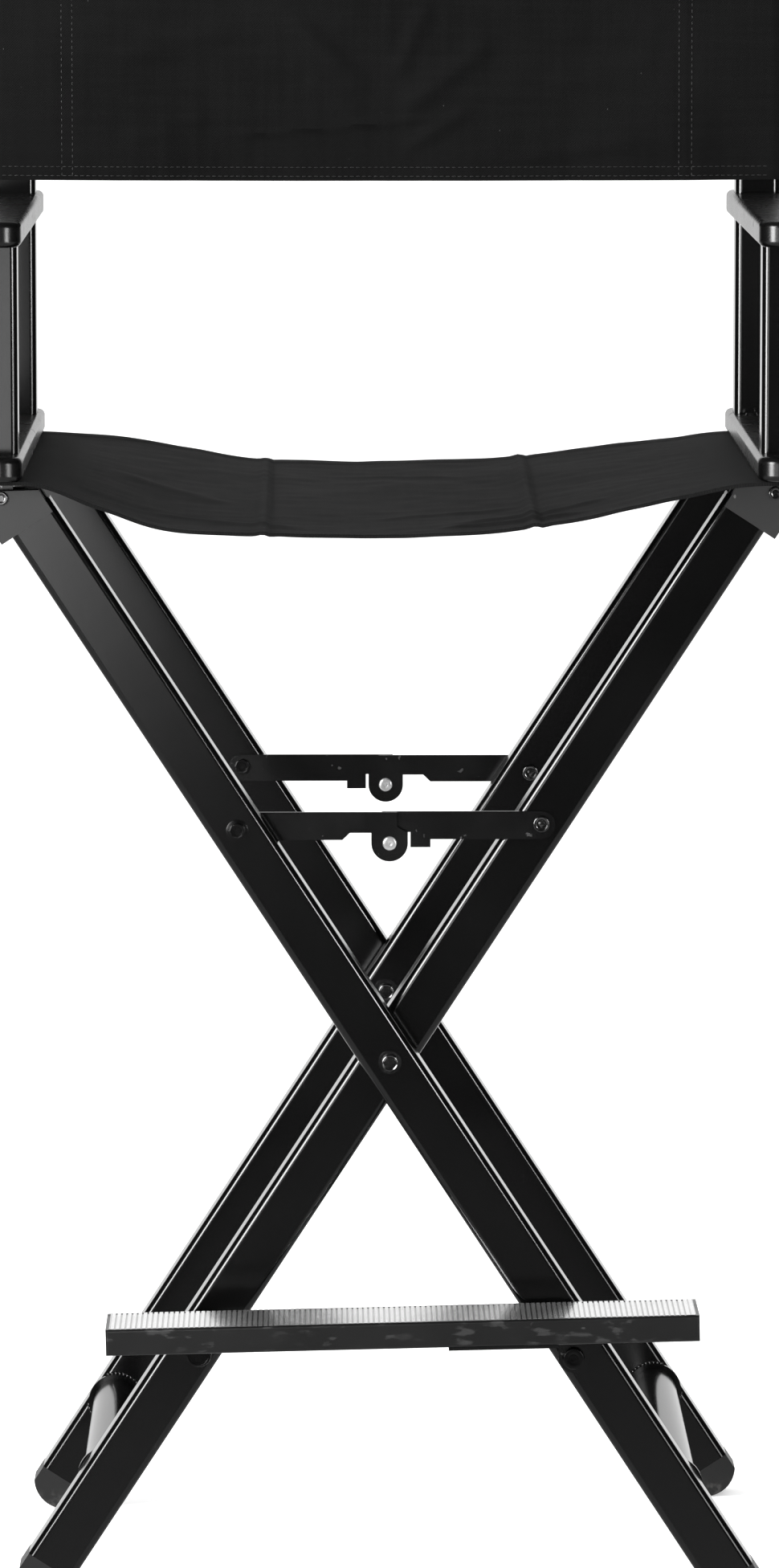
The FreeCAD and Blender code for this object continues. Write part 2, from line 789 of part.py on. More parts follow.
def make_back_canvas():
    """A flat band with a sleeve around each back post."""
    body = new_body("back_canvas", 0, 0, ARM_TOP + D["backGap"])
    gap = D["movingGap"]
    thick = D["canvasThick"]
    inner_x = D["postWidth"] * HALF + gap
    inner_y = D["postDepth"] * HALF + gap
    front = D["postOffset"] - inner_y - thick
    band = new_sketch(body, XY)
    draw_box(band, -POST_X, front, POST_X, front + thick)
    pad(body, band, D["backHeight"])
    for side in (-1, 1):
        sleeve = new_sketch(body, XY)
        centre = POST_X * side
        wide = inner_x + thick
        draw_box(sleeve, centre - wide, front, centre + wide, D["postOffset"] + inner_y + thick)
        pad(body, sleeve, D["backHeight"])
    for side in (-1, 1):
        room = new_sketch(body, XY)
        centre = POST_X * side
        low, high = D["postOffset"] - inner_y, D["postOffset"] + inner_y
        draw_box(room, centre - inner_x, low, centre + inner_x, high)
        cut_through(body, room)


# ---- Folding braces -------------------------------------------------------


def brace_outline(sign, stepped):
    """Outline of a brace bar from its end bolt to its centre lug."""
    reach = BRACE_X
    lug = D["braceLug"]
    end = reach + 5
    rise, low, step = D["braceRise"], -D["braceDepth"], -D["braceStep"]
    points = [(0, rise), (0, low)]
    if stepped:
        points += [(D["braceStepAt"], low), (D["braceStepAt"] + 5, step)]
    else:
        near = reach - D["braceStopAt"]
        far = near - D["braceStopWidth"]
        points += [(far, low), (far, -D["braceStopDrop"]), (near, -D["braceStopDrop"]), (near, step)]
    points += [
        (reach - lug, step),
        (reach - lug, -D["braceDrop"]),
        (reach + lug, -D["braceDrop"]),
        (reach + lug, step),
        (end, step + 4),
        (end, rise),
    ]
    return [(as_size(x) * sign, z) for x, z in points]


def lug_side(points):
    """Index of the outline's side that runs round under the lug."""
    return len(points) - 5


def make_brace(place, name, sign, stepped, back):
    """One bar of a folding brace; back is the depth of its rear face."""
    body = new_body(f"{place}_{name}_brace", -BRACE_X * sign, back, BRACE_Z)
    base = D["braceThick"] - D["braceRib"]
    points = brace_outline(sign, stepped)
    outline = new_sketch(body, XZ, base * HALF)
    arcs = {0: (None, sign), lug_side(points): (None, sign)}
    draw_outline(outline, points, arcs)
    pad(body, outline, base, symmetric=True)
    rib = new_sketch(body, XZ, D["braceThick"] * HALF)
    rib_end = (BRACE_X - D["braceLug"] - 3) * sign
    rib_start = as_size(12 * sign)
    draw_box(rib, rib_start, 0.5, rib_end, D["braceRise"] - 1)
    pad(body, rib, D["braceThick"], symmetric=True)
    bore = new_sketch(body, XZ)
    draw_circle(bore, (0, 0), D["braceBoltRadius"] + D["runClearance"])
    draw_circle(bore, (BRACE_X * sign, -D["braceDrop"]), D["rivetRadius"])
    cut_through(body, bore)


def make_rivet(place, name, plate_front, plate_back, head_in_front):
    """Half of the centre rivet, kept within its own bar's layer."""
    shank, head, thick = D["rivetRadius"], D["rivetHeadRadius"], D["rivetHeadThick"]
    if head_in_front:
        points = headed_points(shank, head, plate_front - thick, plate_front, plate_back)
    else:
        points = headed_points(shank, head, plate_back + thick, plate_back, plate_front)
    turned_body(f"{place}_{name}_rivet", points, (0, 0, BRACE_Z - D["braceDrop"]))


def make_braces():
    """Four bars in two layers of the gap between the frames, front and rear."""
    thick, gap = D["braceThick"], D["movingGap"]
    base = thick - D["braceRib"]
    front_near = -OUTER_BACK + gap + thick
    front_far = -INNER_FACE - gap
    rear_near = INNER_FACE + gap + thick
    rear_far = OUTER_BACK - gap
    for place, name, sign, stepped, back in (
        ("front", "left", 1, True, front_near),
        ("front", "right", -1, False, front_far),
        ("rear", "right", -1, True, rear_near),
        ("rear", "left", 1, False, rear_far),
    ):
        make_brace(place, name, sign, stepped, back)
        make_rivet(place, name, back - base, back, stepped)


def add_bolt(body, points):
    """Adds a turned bolt to a body that holds several."""
    outline = new_sketch(body, XY)
    draw_outline(outline, points)
    turn(body, outline)


def make_brace_bolts():
    """End bolts of the braces: two in the outer frame, two in the inner."""
    thick, gap, shank = D["braceThick"], D["movingGap"], D["braceBoltRadius"]
    head, head_thick = D["boltHeadRadius"], D["boltHeadThick"] * HALF
    bar_back = -OUTER_BACK + gap + thick
    outer = turned_body(
        "outer_brace_bolts", bolt_points(shank, -D["outerFace"], bar_back), (-BRACE_X, 0, BRACE_Z)
    )
    bar_front = OUTER_BACK - gap - thick
    add_bolt(outer, headed_points(shank, head, bar_front - head_thick, bar_front, D["outerFace"] - 1))
    bar_back = INNER_FACE + gap + thick
    inner = turned_body(
        "inner_brace_bolts", bolt_points(shank, INNER_BACK, bar_back), (BRACE_X, 0, BRACE_Z)
    )
    bar_front = -INNER_FACE - gap - thick
    add_bolt(inner, headed_points(shank, head, bar_front - head_thick, bar_front, -INNER_BACK - 1))


# ---- Footrest -------------------------------------------------------------


def footrest_body(label):
    """Starts a footrest piece: the whole footrest tilts a little about its hinge bolt."""
    return new_body(label, REST_X, 0, REST_Z, D["boardTilt"] * -1)


def board_edges():
    """Left, right and underside of the board, seen from the hinge bolt."""
    middle = D["boardShift"] - REST_X
    low = D["boardRise"] - middle * sine(D["boardTilt"])
    half = D["boardLength"] * HALF
    return middle - half, middle + half, low


def make_board():
    """The footrest board, with a shallow tray in its top for the tread."""
    body = footrest_body("footrest_board")
    left, right, low = board_edges()
    front = -(BOARD_BACK + D["boardWidth"])
    outline = new_sketch(body, XY, low)
    draw_box(outline, left, front, right, -BOARD_BACK)
    board = pad(body, outline, D["boardThick"])
    round_edges(body, board, D["treadThick"], lambda edge: not runs_along(edge, DEPTH))
    tray = new_sketch(body, XY, low + D["boardThick"])
    lip = D["boardLip"]
    draw_box(tray, left + lip, front + lip, right - lip, -BOARD_BACK - lip)
    cut_slot(body, tray, 2 * D["treadThick"])


def make_tread():
    """The bright ribbed plate let into the board, grooved from front to back."""
    body = footrest_body("footrest_tread")
    left, right, low = board_edges()
    lip = D["boardLip"] + D["fitGap"]
    front = -(BOARD_BACK + D["boardWidth"])
    base = low + D["boardThick"] - D["treadThick"]
    outline = new_sketch(body, XY, base)
    draw_box(outline, left + lip, front + lip, right - lip, -BOARD_BACK - lip)
    pad(body, outline, D["treadThick"] + D["treadCut"] * HALF)
    top = base + D["treadThick"] + D["treadCut"] * HALF
    groove = new_sketch(body, XY, top)
    start = left + lip + D["treadPitch"]
    draw_box(groove, start, front, start + D["treadGroove"], -BOARD_BACK)
    cut = cut_slot(body, groove, 2 * D["treadCut"])
    span = (D["boardLength"] - 2 * lip - 2 * D["treadPitch"]).value
    pattern = body.newObject("PartDesign::LinearPattern", "Grooves")
    pattern.Originals = [cut]
    pattern.Direction = (origin_part(body, "X_Axis"), [""])
    count = int(span // D["treadPitch"].value)
    pattern.Occurrences = count
    pattern.setExpression("Length", (D["treadPitch"] * (count - 1)).text)
    body.Tip = pattern
    doc.recompute()


def add_bracket_foot(body, left, right, low, depth):
    """The bracket's flange that lies against the underside of the board."""
    foot = new_sketch(body, XY, low - D["fitGap"] - D["bracketFootThick"] * HALF)
    draw_box(foot, left, -(BOARD_BACK + depth), right, -BOARD_BACK - 1)
    pad(body, foot, D["bracketFootThick"], symmetric=True)


def make_hinge_bracket():
    """The angle bracket that hangs the board on its hinge bolt."""
    body = footrest_body("footrest_hinge_bracket")
    _, _, low = board_edges()
    middle = BOARD_BACK + D["restTabThick"] * HALF
    radius = D["restTabRadius"]
    half = D["restTabWidth"] * HALF
    shelf = low - D["restTabDrop"]
    outline = new_sketch(body, XZ, middle)
    shoulder = -D["restTabShoulder"]
    points = [
        (-radius, 0),
        (radius, 0),
        (half, shelf),
        (half, low - D["fitGap"]),
        (shoulder, low - D["fitGap"]),
        (shoulder, shelf),
        (-radius, shelf),
    ]
    draw_outline(outline, points, {0: (None, 1)})
    pad(body, outline, D["restTabThick"], symmetric=True)
    add_bracket_foot(body, -D["restFootReach"], half, low, D["bracketFoot"])
    add_bracket_foot(body, -D["restFootReach"], -D["restTongueEnd"], low, D["restTongueDepth"])
    bore = new_sketch(body, XZ)
    draw_circle(bore, (0, 0), D["restBoltRadius"] + D["runClearance"])
    cut_through(body, bore)


def make_hook_bracket():
    """The angle bracket whose open hook rests on the peg of the other leg."""
    body = footrest_body("footrest_hook_bracket")
    _, _, low = board_edges()
    middle = BOARD_BACK + D["restTabThick"] * HALF
    peg_x = -(PEG_X + REST_X)
    peg_z = peg_rise()
    rest = peg_z + D["pegRadius"] + D["movingGap"]
    wall = peg_x - D["pegRadius"] - D["movingGap"]
    outline = new_sketch(body, XZ, middle)
    points = [
        (wall - 8, peg_z - 4),
        (wall, peg_z - 4),
        (wall, rest),
        (peg_x + D["hookInner"], rest),
        (peg_x + D["hookInner"], low - D["fitGap"]),
        (wall - D["hookOuter"], low - D["fitGap"]),
        (wall - D["hookOuter"], peg_z + 4),
    ]
    draw_outline(outline, points)
    pad(body, outline, D["restTabThick"], symmetric=True)
    add_bracket_foot(body, wall - D["hookOuter"], peg_x + D["hookInner"], low, D["bracketFoot"])


def peg_rise():
    """Height of the peg above the hinge bolt in the footrest's own tilted frame."""
    span = PEG_X + REST_X
    return (PEG_Z - REST_Z) * cosine(D["boardTilt"]) + span * sine(D["boardTilt"])


def make_footrest_screws():
    """Four screws up through the brackets' feet into the board."""
    body = footrest_body("footrest_screws")
    _, _, low = board_edges()
    peg_x = -(PEG_X + REST_X)
    depth = -(BOARD_BACK + D["bracketFoot"] * HALF)
    for across in hinge_screws() + hook_screws(peg_x):
        place_screw(body, across, depth, low)


def hinge_screws():
    """Where the hinge bracket's two screws stand, across from the hinge bolt."""
    inset = D["restScrewInset"]
    return inset - D["restFootReach"], D["restTabWidth"] * HALF - inset * HALF


def hook_screws(peg_x):
    """Where the hook bracket's two screws stand, on both sides of the peg."""
    return peg_x - D["hookScrewOuter"], peg_x + D["hookScrewInner"]


def place_screw(body, across, depth, low):
    """A pan head under a bracket's foot and its shank up into the board."""
    base = low - D["bracketFootThick"] - D["fitGap"]
    for radius, start, length in (
        (D["screwHeadRadius"], base - D["screwHeadThick"], D["screwHeadThick"]),
        (D["screwRadius"], base, D["bracketFootThick"] + 8),
    ):
        outline = new_sketch(body, XY, start)
        draw_circle(outline, (across, depth), radius)
        pad(body, outline, length)


def make_rest_fixings():
    """The hinge bolt with its spacer on one leg, the peg on the other."""
    shank = D["restBoltRadius"]
    tab_front = -(BOARD_BACK + D["restTabThick"])
    placing = (REST_X, 0, REST_Z)
    end = -OUTER_BACK - D["legWall"]
    head_front = tab_front - D["movingGap"]
    bolt = [
        (0, head_front - D["boltHeadThick"]),
        (D["boltHeadRadius"], head_front - D["boltHeadThick"]),
        (D["boltHeadRadius"], head_front - D["washerThick"]),
        (D["washerRadius"], head_front - D["washerThick"]),
        (D["washerRadius"], head_front),
        (shank, head_front),
        (shank, end),
        (0, end),
    ]
    turned_body("footrest_hinge_bolt", bolt, placing)
    spacer = ring_points(shank + D["fitGap"], D["washerRadius"], -BOARD_BACK + D["movingGap"], -D["outerFace"])
    turned_body("footrest_hinge_spacer", spacer, placing)
    peg_end = tab_front - D["movingGap"]
    peg = headed_points(
        D["pegRadius"], D["pegHeadRadius"], peg_end - D["pegHeadThick"], peg_end, -INNER_FACE + D["legWall"]
    )
    turned_body("footrest_peg", peg, (-PEG_X, 0, PEG_Z))


def make_footrest():
    make_board()
    make_tread()
    make_hinge_bracket()
    make_hook_bracket()
    make_footrest_screws()
    make_rest_fixings()


# ---- Checks and export ----------------------------------------------------


def cut_footrest_screw_holes():
    """Clearance holes for the bracket screws in the board and both brackets."""
    _, _, low = board_edges()
    peg_x = -(PEG_X + REST_X)
    depth = -(BOARD_BACK + D["bracketFoot"] * HALF)
    hinge = hinge_screws()
    hook = hook_screws(peg_x)
    wanted = {
        "footrest_board": hinge + hook,
        "footrest_hinge_bracket": hinge,
        "footrest_hook_bracket": hook,
    }
    for body in PARTS:
        for across in wanted.get(body.Label, ()):
            hole = new_sketch(body, XY, low)
            draw_circle(hole, (across, depth), D["screwRadius"])
            cut_slot(body, hole, 16.2)


def check_and_export():
    """Checks every piece and writes one STEP file for each."""
    doc.recompute()
    for item in doc.Objects:
        if "Invalid" in item.State or "Error" in item.State:
            owner = item.getParentGeoFeatureGroup()
            where = owner.Label if owner else item.Label
            raise RuntimeError(f"{item.Name} in {where} did not compute: {item.State}")
    os.makedirs("parts", exist_ok=True)
    for body in PARTS:
        shape = body.Shape
        if shape.isNull() or not shape.isValid() or not shape.Solids:
            raise RuntimeError(f"{body.Label} has no valid solid")
        shape.exportStep(os.path.join("parts", f"{body.Label}.step"))
        box = shape.BoundBox
        print(
            f"{body.Label}: {len(shape.Solids)} solids, {shape.Volume:.0f} mm3, "
            f"x {box.XMin:.1f}..{box.XMax:.1f} y {box.YMin:.1f}..{box.YMax:.1f} z {box.ZMin:.1f}..{box.ZMax:.1f}"
        )


make_legs()
make_pivots()
make_sides()
make_seat_canvas()
make_back_canvas()
make_braces()
make_brace_bolts()
make_footrest()
cut_footrest_screw_holes()
check_and_export()
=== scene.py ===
"""Tall folding director chair: dresses the jointed frame and makes its cloth, fixings and studio."""

import json
import logging
import math
from collections.abc import Callable, Iterable
from dataclasses import dataclass, field
from enum import Enum

import bmesh
import bpy
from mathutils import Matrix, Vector, noise


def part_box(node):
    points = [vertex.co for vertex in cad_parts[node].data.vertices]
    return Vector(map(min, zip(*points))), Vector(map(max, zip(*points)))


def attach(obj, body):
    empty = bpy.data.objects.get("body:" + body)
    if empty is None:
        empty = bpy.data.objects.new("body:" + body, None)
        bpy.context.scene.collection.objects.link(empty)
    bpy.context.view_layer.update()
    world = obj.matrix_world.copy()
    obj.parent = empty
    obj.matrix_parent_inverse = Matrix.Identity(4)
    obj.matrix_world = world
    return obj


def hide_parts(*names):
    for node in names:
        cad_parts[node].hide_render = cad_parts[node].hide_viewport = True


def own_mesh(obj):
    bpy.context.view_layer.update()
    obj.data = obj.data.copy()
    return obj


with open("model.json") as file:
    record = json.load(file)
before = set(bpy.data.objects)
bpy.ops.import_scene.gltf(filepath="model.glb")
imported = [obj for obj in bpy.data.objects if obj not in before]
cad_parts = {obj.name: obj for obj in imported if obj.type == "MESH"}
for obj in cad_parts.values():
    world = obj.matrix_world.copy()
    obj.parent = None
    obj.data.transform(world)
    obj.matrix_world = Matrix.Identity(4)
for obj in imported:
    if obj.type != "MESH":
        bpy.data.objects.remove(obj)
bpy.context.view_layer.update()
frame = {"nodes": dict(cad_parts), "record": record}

MM = 0.001
log = logging.getLogger("chair")
KNUCKLES = tuple(f"{legs}_{end}_knuckle" for legs in ("outer", "inner") for end in ("front", "rear"))


# ---- Shader graphs ---------------------------------------------------------


class Signal:
    """A number that varies over a surface, for use in Python expressions."""

    def __init__(self, graph: "Graph", socket: bpy.types.NodeSocket) -> None:
        """Wraps one output socket.

        Args:
            graph: The graph that the socket belongs to.
            socket: The output socket to read.
        """
        self.graph = graph
        self.socket = socket

    def combine(self, operation: str, first: object, second: object = 0.0) -> "Signal":
        """Adds one Math node.

        Args:
            operation: The Math node's operation.
            first: Its first value, a number or a Signal.
            second: Its second value.

        Returns:
            The node's result.
        """
        node = self.graph.add("ShaderNodeMath", {"operation": operation}, {0: first, 1: second})
        return Signal(self.graph, node.outputs[0])

    def __add__(self, other: object) -> "Signal":
        """Sum."""
        return self.combine("ADD", self, other)

    __radd__ = __add__

    def __mul__(self, other: object) -> "Signal":
        """Product."""
        return self.combine("MULTIPLY", self, other)

    __rmul__ = __mul__

    def __sub__(self, other: object) -> "Signal":
        """Difference."""
        return self.combine("SUBTRACT", self, other)

    def __rsub__(self, other: object) -> "Signal":
        """Difference with the number first."""
        return self.combine("SUBTRACT", other, self)

    def wave(self) -> "Signal":
        """Sine of this signal, in radians."""
        return self.combine("SINE", self)

    def size(self) -> "Signal":
        """This signal without its sign."""
        return self.combine("ABSOLUTE", self)

    def ramp(self, low: float, high: float) -> "Signal":
        """Smooth step from low to high.

        Args:
            low: Where the result is 0.
            high: Where the result is 1.

        Returns:
            The step, from 0 to 1.
        """
        node = self.graph.add(
            "ShaderNodeMapRange",
            {"interpolation_type": "SMOOTHSTEP"},
            {"Value": self, "From Min": low, "From Max": high},
        )
        return Signal(self.graph, node.outputs[0])


class Graph:
    """Builds the nodes of one material or world."""

    def __init__(self, owner: bpy.types.ID) -> None:
        """Empties the owner's node tree.

        Args:
            owner: A material or a world.
        """
        owner.use_nodes = True
        self.tree = owner.node_tree
        self.tree.nodes.clear()

    def add(self, kind: str, settings: dict | None = None, sockets: dict | None = None) -> bpy.types.Node:
        """Adds one node.

        Args:
            kind: The node's type.
            settings: Properties that are set before the sockets are filled.
            sockets: Values or links by socket name or place.

        Returns:
            The new node.
        """
        node = self.tree.nodes.new(kind)
        for name, value in (settings or {}).items():
            setattr(node, name, value)
        for name, value in (sockets or {}).items():
            if isinstance(value, Signal):
                value = value.socket
            if isinstance(value, bpy.types.NodeSocket):
                self.tree.links.new(value, node.inputs[name])
            else:
                node.inputs[name].default_value = value
        return node

    def place(self) -> bpy.types.NodeSocket:
        """Object coordinates, in metres in the chair's own frame."""
        return self.add("ShaderNodeTexCoord").outputs["Object"]

    def cloth_place(self) -> bpy.types.NodeSocket:
        """The piece's own UV map, in metres along and across the cloth."""
        return self.add("ShaderNodeUVMap", {"uv_map": "cloth"}).outputs[0]

    def stretched(self, place: bpy.types.NodeSocket, scale: tuple) -> bpy.types.NodeSocket:
        """The same coordinates with each axis scaled.

        Args:
            place: The coordinates.
            scale: One factor for each axis.

        Returns:
            The scaled coordinates.
        """
        settings = {"operation": "MULTIPLY"}
        return self.add("ShaderNodeVectorMath", settings, {0: place, 1: scale}).outputs[0]

    def axes(self, place: bpy.types.NodeSocket) -> tuple["Signal", "Signal", "Signal"]:
        """The three coordinates one by one."""
        node = self.add("ShaderNodeSeparateXYZ", None, {0: place})
        return tuple(Signal(self, node.outputs[k]) for k in range(3))

    def noise(self, place: bpy.types.NodeSocket, scale: float, detail: float = 3.0) -> "Signal":
        """Soft cloudy noise from 0 to 1.

        Args:
            place: The coordinates, in metres.
            scale: Features per metre.
            detail: Octaves of finer noise.

        Returns:
            The noise.
        """
        node = self.add("ShaderNodeTexNoise", None, {"Vector": place, "Scale": scale, "Detail": detail})
        return Signal(self, node.outputs[0])

    def cells(self, place: bpy.types.NodeSocket, scale: float) -> "Signal":
        """Distance to the nearest of scattered points, in cells."""
        node = self.add("ShaderNodeTexVoronoi", None, {"Vector": place, "Scale": scale})
        return Signal(self, node.outputs["Distance"])

    def blend(self, factor: "Signal", first: tuple, second: tuple) -> bpy.types.NodeSocket:
        """Mixes two colours.

        Args:
            factor: 0 gives the first colour, 1 the second.
            first: A colour or a colour socket.
            second: A colour or a colour socket.

        Returns:
            The mixed colour.
        """
        settings = {"data_type": "RGBA", "clamp_factor": True}
        return self.add("ShaderNodeMix", settings, {0: factor, 6: first, 7: second}).outputs[2]

    def bump(self, height: "Signal", strength: float, distance: float) -> bpy.types.NodeSocket:
        """A normal bent by a height in units of distance metres."""
        sockets = {"Height": height, "Strength": strength, "Distance": distance}
        return self.add("ShaderNodeBump", None, sockets).outputs[0]

    def surface(self, **sockets: object) -> None:
        """Ends a material in one Principled shader.

        Args:
            sockets: Values or links by socket name, with underscores for its spaces.
        """
        named = {name.replace("_", " "): value for name, value in sockets.items()}
        shader = self.add("ShaderNodeBsdfPrincipled", None, named)
        self.add("ShaderNodeOutputMaterial", None, {0: shader.outputs[0]})


def grey(level: float, warmth: float = 0.0) -> tuple[float, float, float, float]:
    """A neutral colour, with a little warmth or coolness.

    Args:
        level: Linear brightness.
        warmth: Share by which red rises and blue falls.

    Returns:
        An RGBA colour.
    """
    return (level * (1 + warmth), level, level * (1 - warmth), 1.0)


# ---- Finishes --------------------------------------------------------------


class Finish:
    """What every finish of the chair has in common."""

    name: str

    def make(self) -> bpy.types.Material:
        """Builds the material.

        Returns:
            The material, with its nodes wired.
        """
        material = bpy.data.materials.new(self.name)
        self.wire(Graph(material))
        return material

    def wire(self, g: Graph) -> None:
        """Adds the nodes of the surface; each finish has its own."""
        raise NotImplementedError


@dataclass(frozen=True)
class GlossCoat(Finish):
    """Smooth black coating on the aluminium sections, with dust and hairline scuffs."""

    name: str = "gloss_coat"
    level: float = 0.0013
    roughness: float = 0.16
    reflectance: float = 0.5
    scuffs: float = 0.35

    def wire(self, g: Graph) -> None:
        """Lays a clouded black with hairline scuffs and specks of dust over it.

        Args:
            g: The material's graph.
        """
        place = g.place()
        cloud = g.noise(place, 14.0, 4.0)
        fine = g.noise(g.stretched(place, (1.0, 1.0, 0.12)), 420.0, 2.0)
        dust = (0.055 - g.cells(place, 240.0)).ramp(0.0, 0.03) * g.noise(place, 33.0).ramp(0.56, 0.7)
        scuff = fine.ramp(0.67, 0.74) * cloud.ramp(0.5, 0.64) * self.scuffs
        colour = g.blend(cloud, grey(self.level * 0.8), grey(self.level * 1.5))
        colour = g.blend(dust * 0.5 + scuff * 0.16, colour, grey(0.09))
        g.surface(
            Base_Color=colour,
            Roughness=self.roughness + scuff * 0.08 + (cloud - 0.5) * 0.05 + dust * 0.2,
            Specular_IOR_Level=self.reflectance,
            Normal=g.bump(g.noise(place, 70.0, 2.0), 0.05, 0.3 * MM),
        )


@dataclass(frozen=True)
class MouldedGloss(Finish):
    """Black moulding with a faint orange peel, for the arms, rails and footrest board."""

    name: str = "moulded_gloss"
    level: float = 0.0012
    roughness: float = 0.27
    chip_line: float | None = None

    def wire(self, g: Graph) -> None:
        """Lays a clouded black, and chips and smears along the top edge where there is one.

        Args:
            g: The material's graph.
        """
        place = g.place()
        cloud = g.noise(place, 22.0, 4.0)
        peel = g.noise(place, 260.0, 2.0)
        rubbed = g.noise(g.stretched(place, (0.5, 1.0, 1.0)), 95.0, 5.0).ramp(0.6, 0.72)
        colour = g.blend(cloud, grey(self.level * 0.7), grey(self.level * 1.6))
        rough = self.roughness + rubbed * 0.12 + (cloud - 0.5) * 0.06
        if self.chip_line is not None:
            _, _, height = g.axes(place)
            near_top = 1 - ((height - self.chip_line).size() * (1 / MM)).ramp(1.5, 6.5)
            spots = (0.2 - g.cells(g.stretched(place, (0.7, 1.0, 1.4)), 62.0)).ramp(0.0, 0.06)
            chips = spots * g.noise(place, 47.0, 3.0).ramp(0.53, 0.6) * near_top
            smear = g.noise(g.stretched(place, (0.45, 1.0, 1.3)), 130.0, 5.0).ramp(0.57, 0.68)
            colour = g.blend(smear * 0.2, colour, grey(0.05))
            colour = g.blend(chips, colour, grey(0.16))
            rough = rough + chips * 0.3 + smear * 0.2
        g.surface(
            Base_Color=colour,
            Roughness=rough,
            Specular_IOR_Level=0.5,
            Normal=g.bump(peel, 0.12, 0.12 * MM),
        )


@dataclass(frozen=True)
class PressedSteel(Finish):
    """Black paint on pressed steel braces and brackets, rubbed bright at random points."""

    name: str = "pressed_steel"
    level: float = 0.0008
    roughness: float = 0.2

    def wire(self, g: Graph) -> None:
        """Lays black paint, worn through to metal in random points.

        Args:
            g: The material's graph.
        """
        place = g.place()
        cloud = g.noise(place, 40.0, 4.0)
        worn = g.noise(place, 160.0, 5.0).ramp(0.66, 0.72) * cloud.ramp(0.48, 0.62)
        g.surface(
            Base_Color=g.blend(worn, grey(self.level), grey(0.16)),
            Metallic=worn * 0.8,
            Roughness=self.roughness + (cloud - 0.5) * 0.1,
            Normal=g.bump(g.noise(place, 1200.0, 3.0), 0.1, 0.1 * MM),
        )


@dataclass(frozen=True)
class TurnedMetal(Finish):
    """Plated fixings: dark or bright, with fine turning marks."""

    name: str
    level: float
    roughness: float
    metallic: float

    def wire(self, g: Graph) -> None:
        """Lays stained metal with turning marks round the fixing.

        Args:
            g: The material's graph.
        """
        place = g.place()
        marks = g.noise(g.stretched(place, (1.0, 6.0, 1.0)), 700.0, 3.0)
        stain = g.noise(place, 150.0, 4.0)
        g.surface(
            Base_Color=g.blend(stain, grey(self.level * 0.6), grey(self.level * 1.25)),
            Metallic=self.metallic,
            Roughness=self.roughness + marks * 0.12 + (stain - 0.5) * 0.1,
            Normal=g.bump(marks, 0.15, 0.08 * MM),
        )


@dataclass(frozen=True)
class CapPlastic(Finish):
    """Matt moulded plastic of the end caps, scuffed where it meets the floor."""

    name: str = "cap_plastic"

    def wire(self, g: Graph) -> None:
        """Lays grained plastic, scuffed near the floor.

        Args:
            g: The material's graph.
        """
        place = g.place()
        _, _, height = g.axes(place)
        grain = g.noise(place, 1500.0, 2.0)
        floor_scuff = (1 - height.ramp(2 * MM, 16 * MM)) * g.noise(place, 180.0, 5.0).ramp(0.42, 0.62)
        g.surface(
            Base_Color=g.blend(floor_scuff, grey(0.004), grey(0.03, 0.06)),
            Roughness=0.42 + floor_scuff * 0.3,
            Normal=g.bump(grain, 0.25, 0.1 * MM),
        )


@dataclass(frozen=True)
class RibbedAluminium(Finish):
    """Bright tread with fine cross lines over its ribs."""

    first_groove: float
    name: str = "ribbed_aluminium"
    pitch: float = 3.5 * MM
    groove: float = 1.1 * MM
    cross_pitch: float = 2.6 * MM

    def wire(self, g: Graph) -> None:
        """Lays bright metal, with painted shade in the grooves between its ribs and along its cross lines.

        Args:
            g: The material's graph.
        """
        place = g.place()
        across, depth, _ = g.axes(place)
        turn = 2 * math.pi / self.pitch
        middle = self.first_groove + self.groove / 2
        groove_shade = ((across - middle) * turn + math.pi / 2).wave() * 0.5 + 0.5
        lines = (depth * (2 * math.pi / self.cross_pitch)).wave() * 0.5 + 0.5
        brushed = g.noise(g.stretched(place, (1.0, 0.04, 1.0)), 900.0, 3.0)
        stain = g.noise(place, 30.0, 4.0)
        bright = g.blend(stain, grey(0.72), grey(0.9))
        g.surface(
            # Painted shade: the base colour darkens to grey in the rib grooves and, faintly, along the cross
            # lines.
            Base_Color=g.blend(groove_shade.ramp(0.45, 0.95) * 0.5 + lines.ramp(0.6, 0.95) * 0.12, bright, grey(0.22)),
            Metallic=0.9,
            Roughness=0.12 + brushed * 0.12,
            Normal=g.bump(lines.ramp(0.55, 0.95) + brushed * 0.3, 0.3, 0.25 * MM),
        )


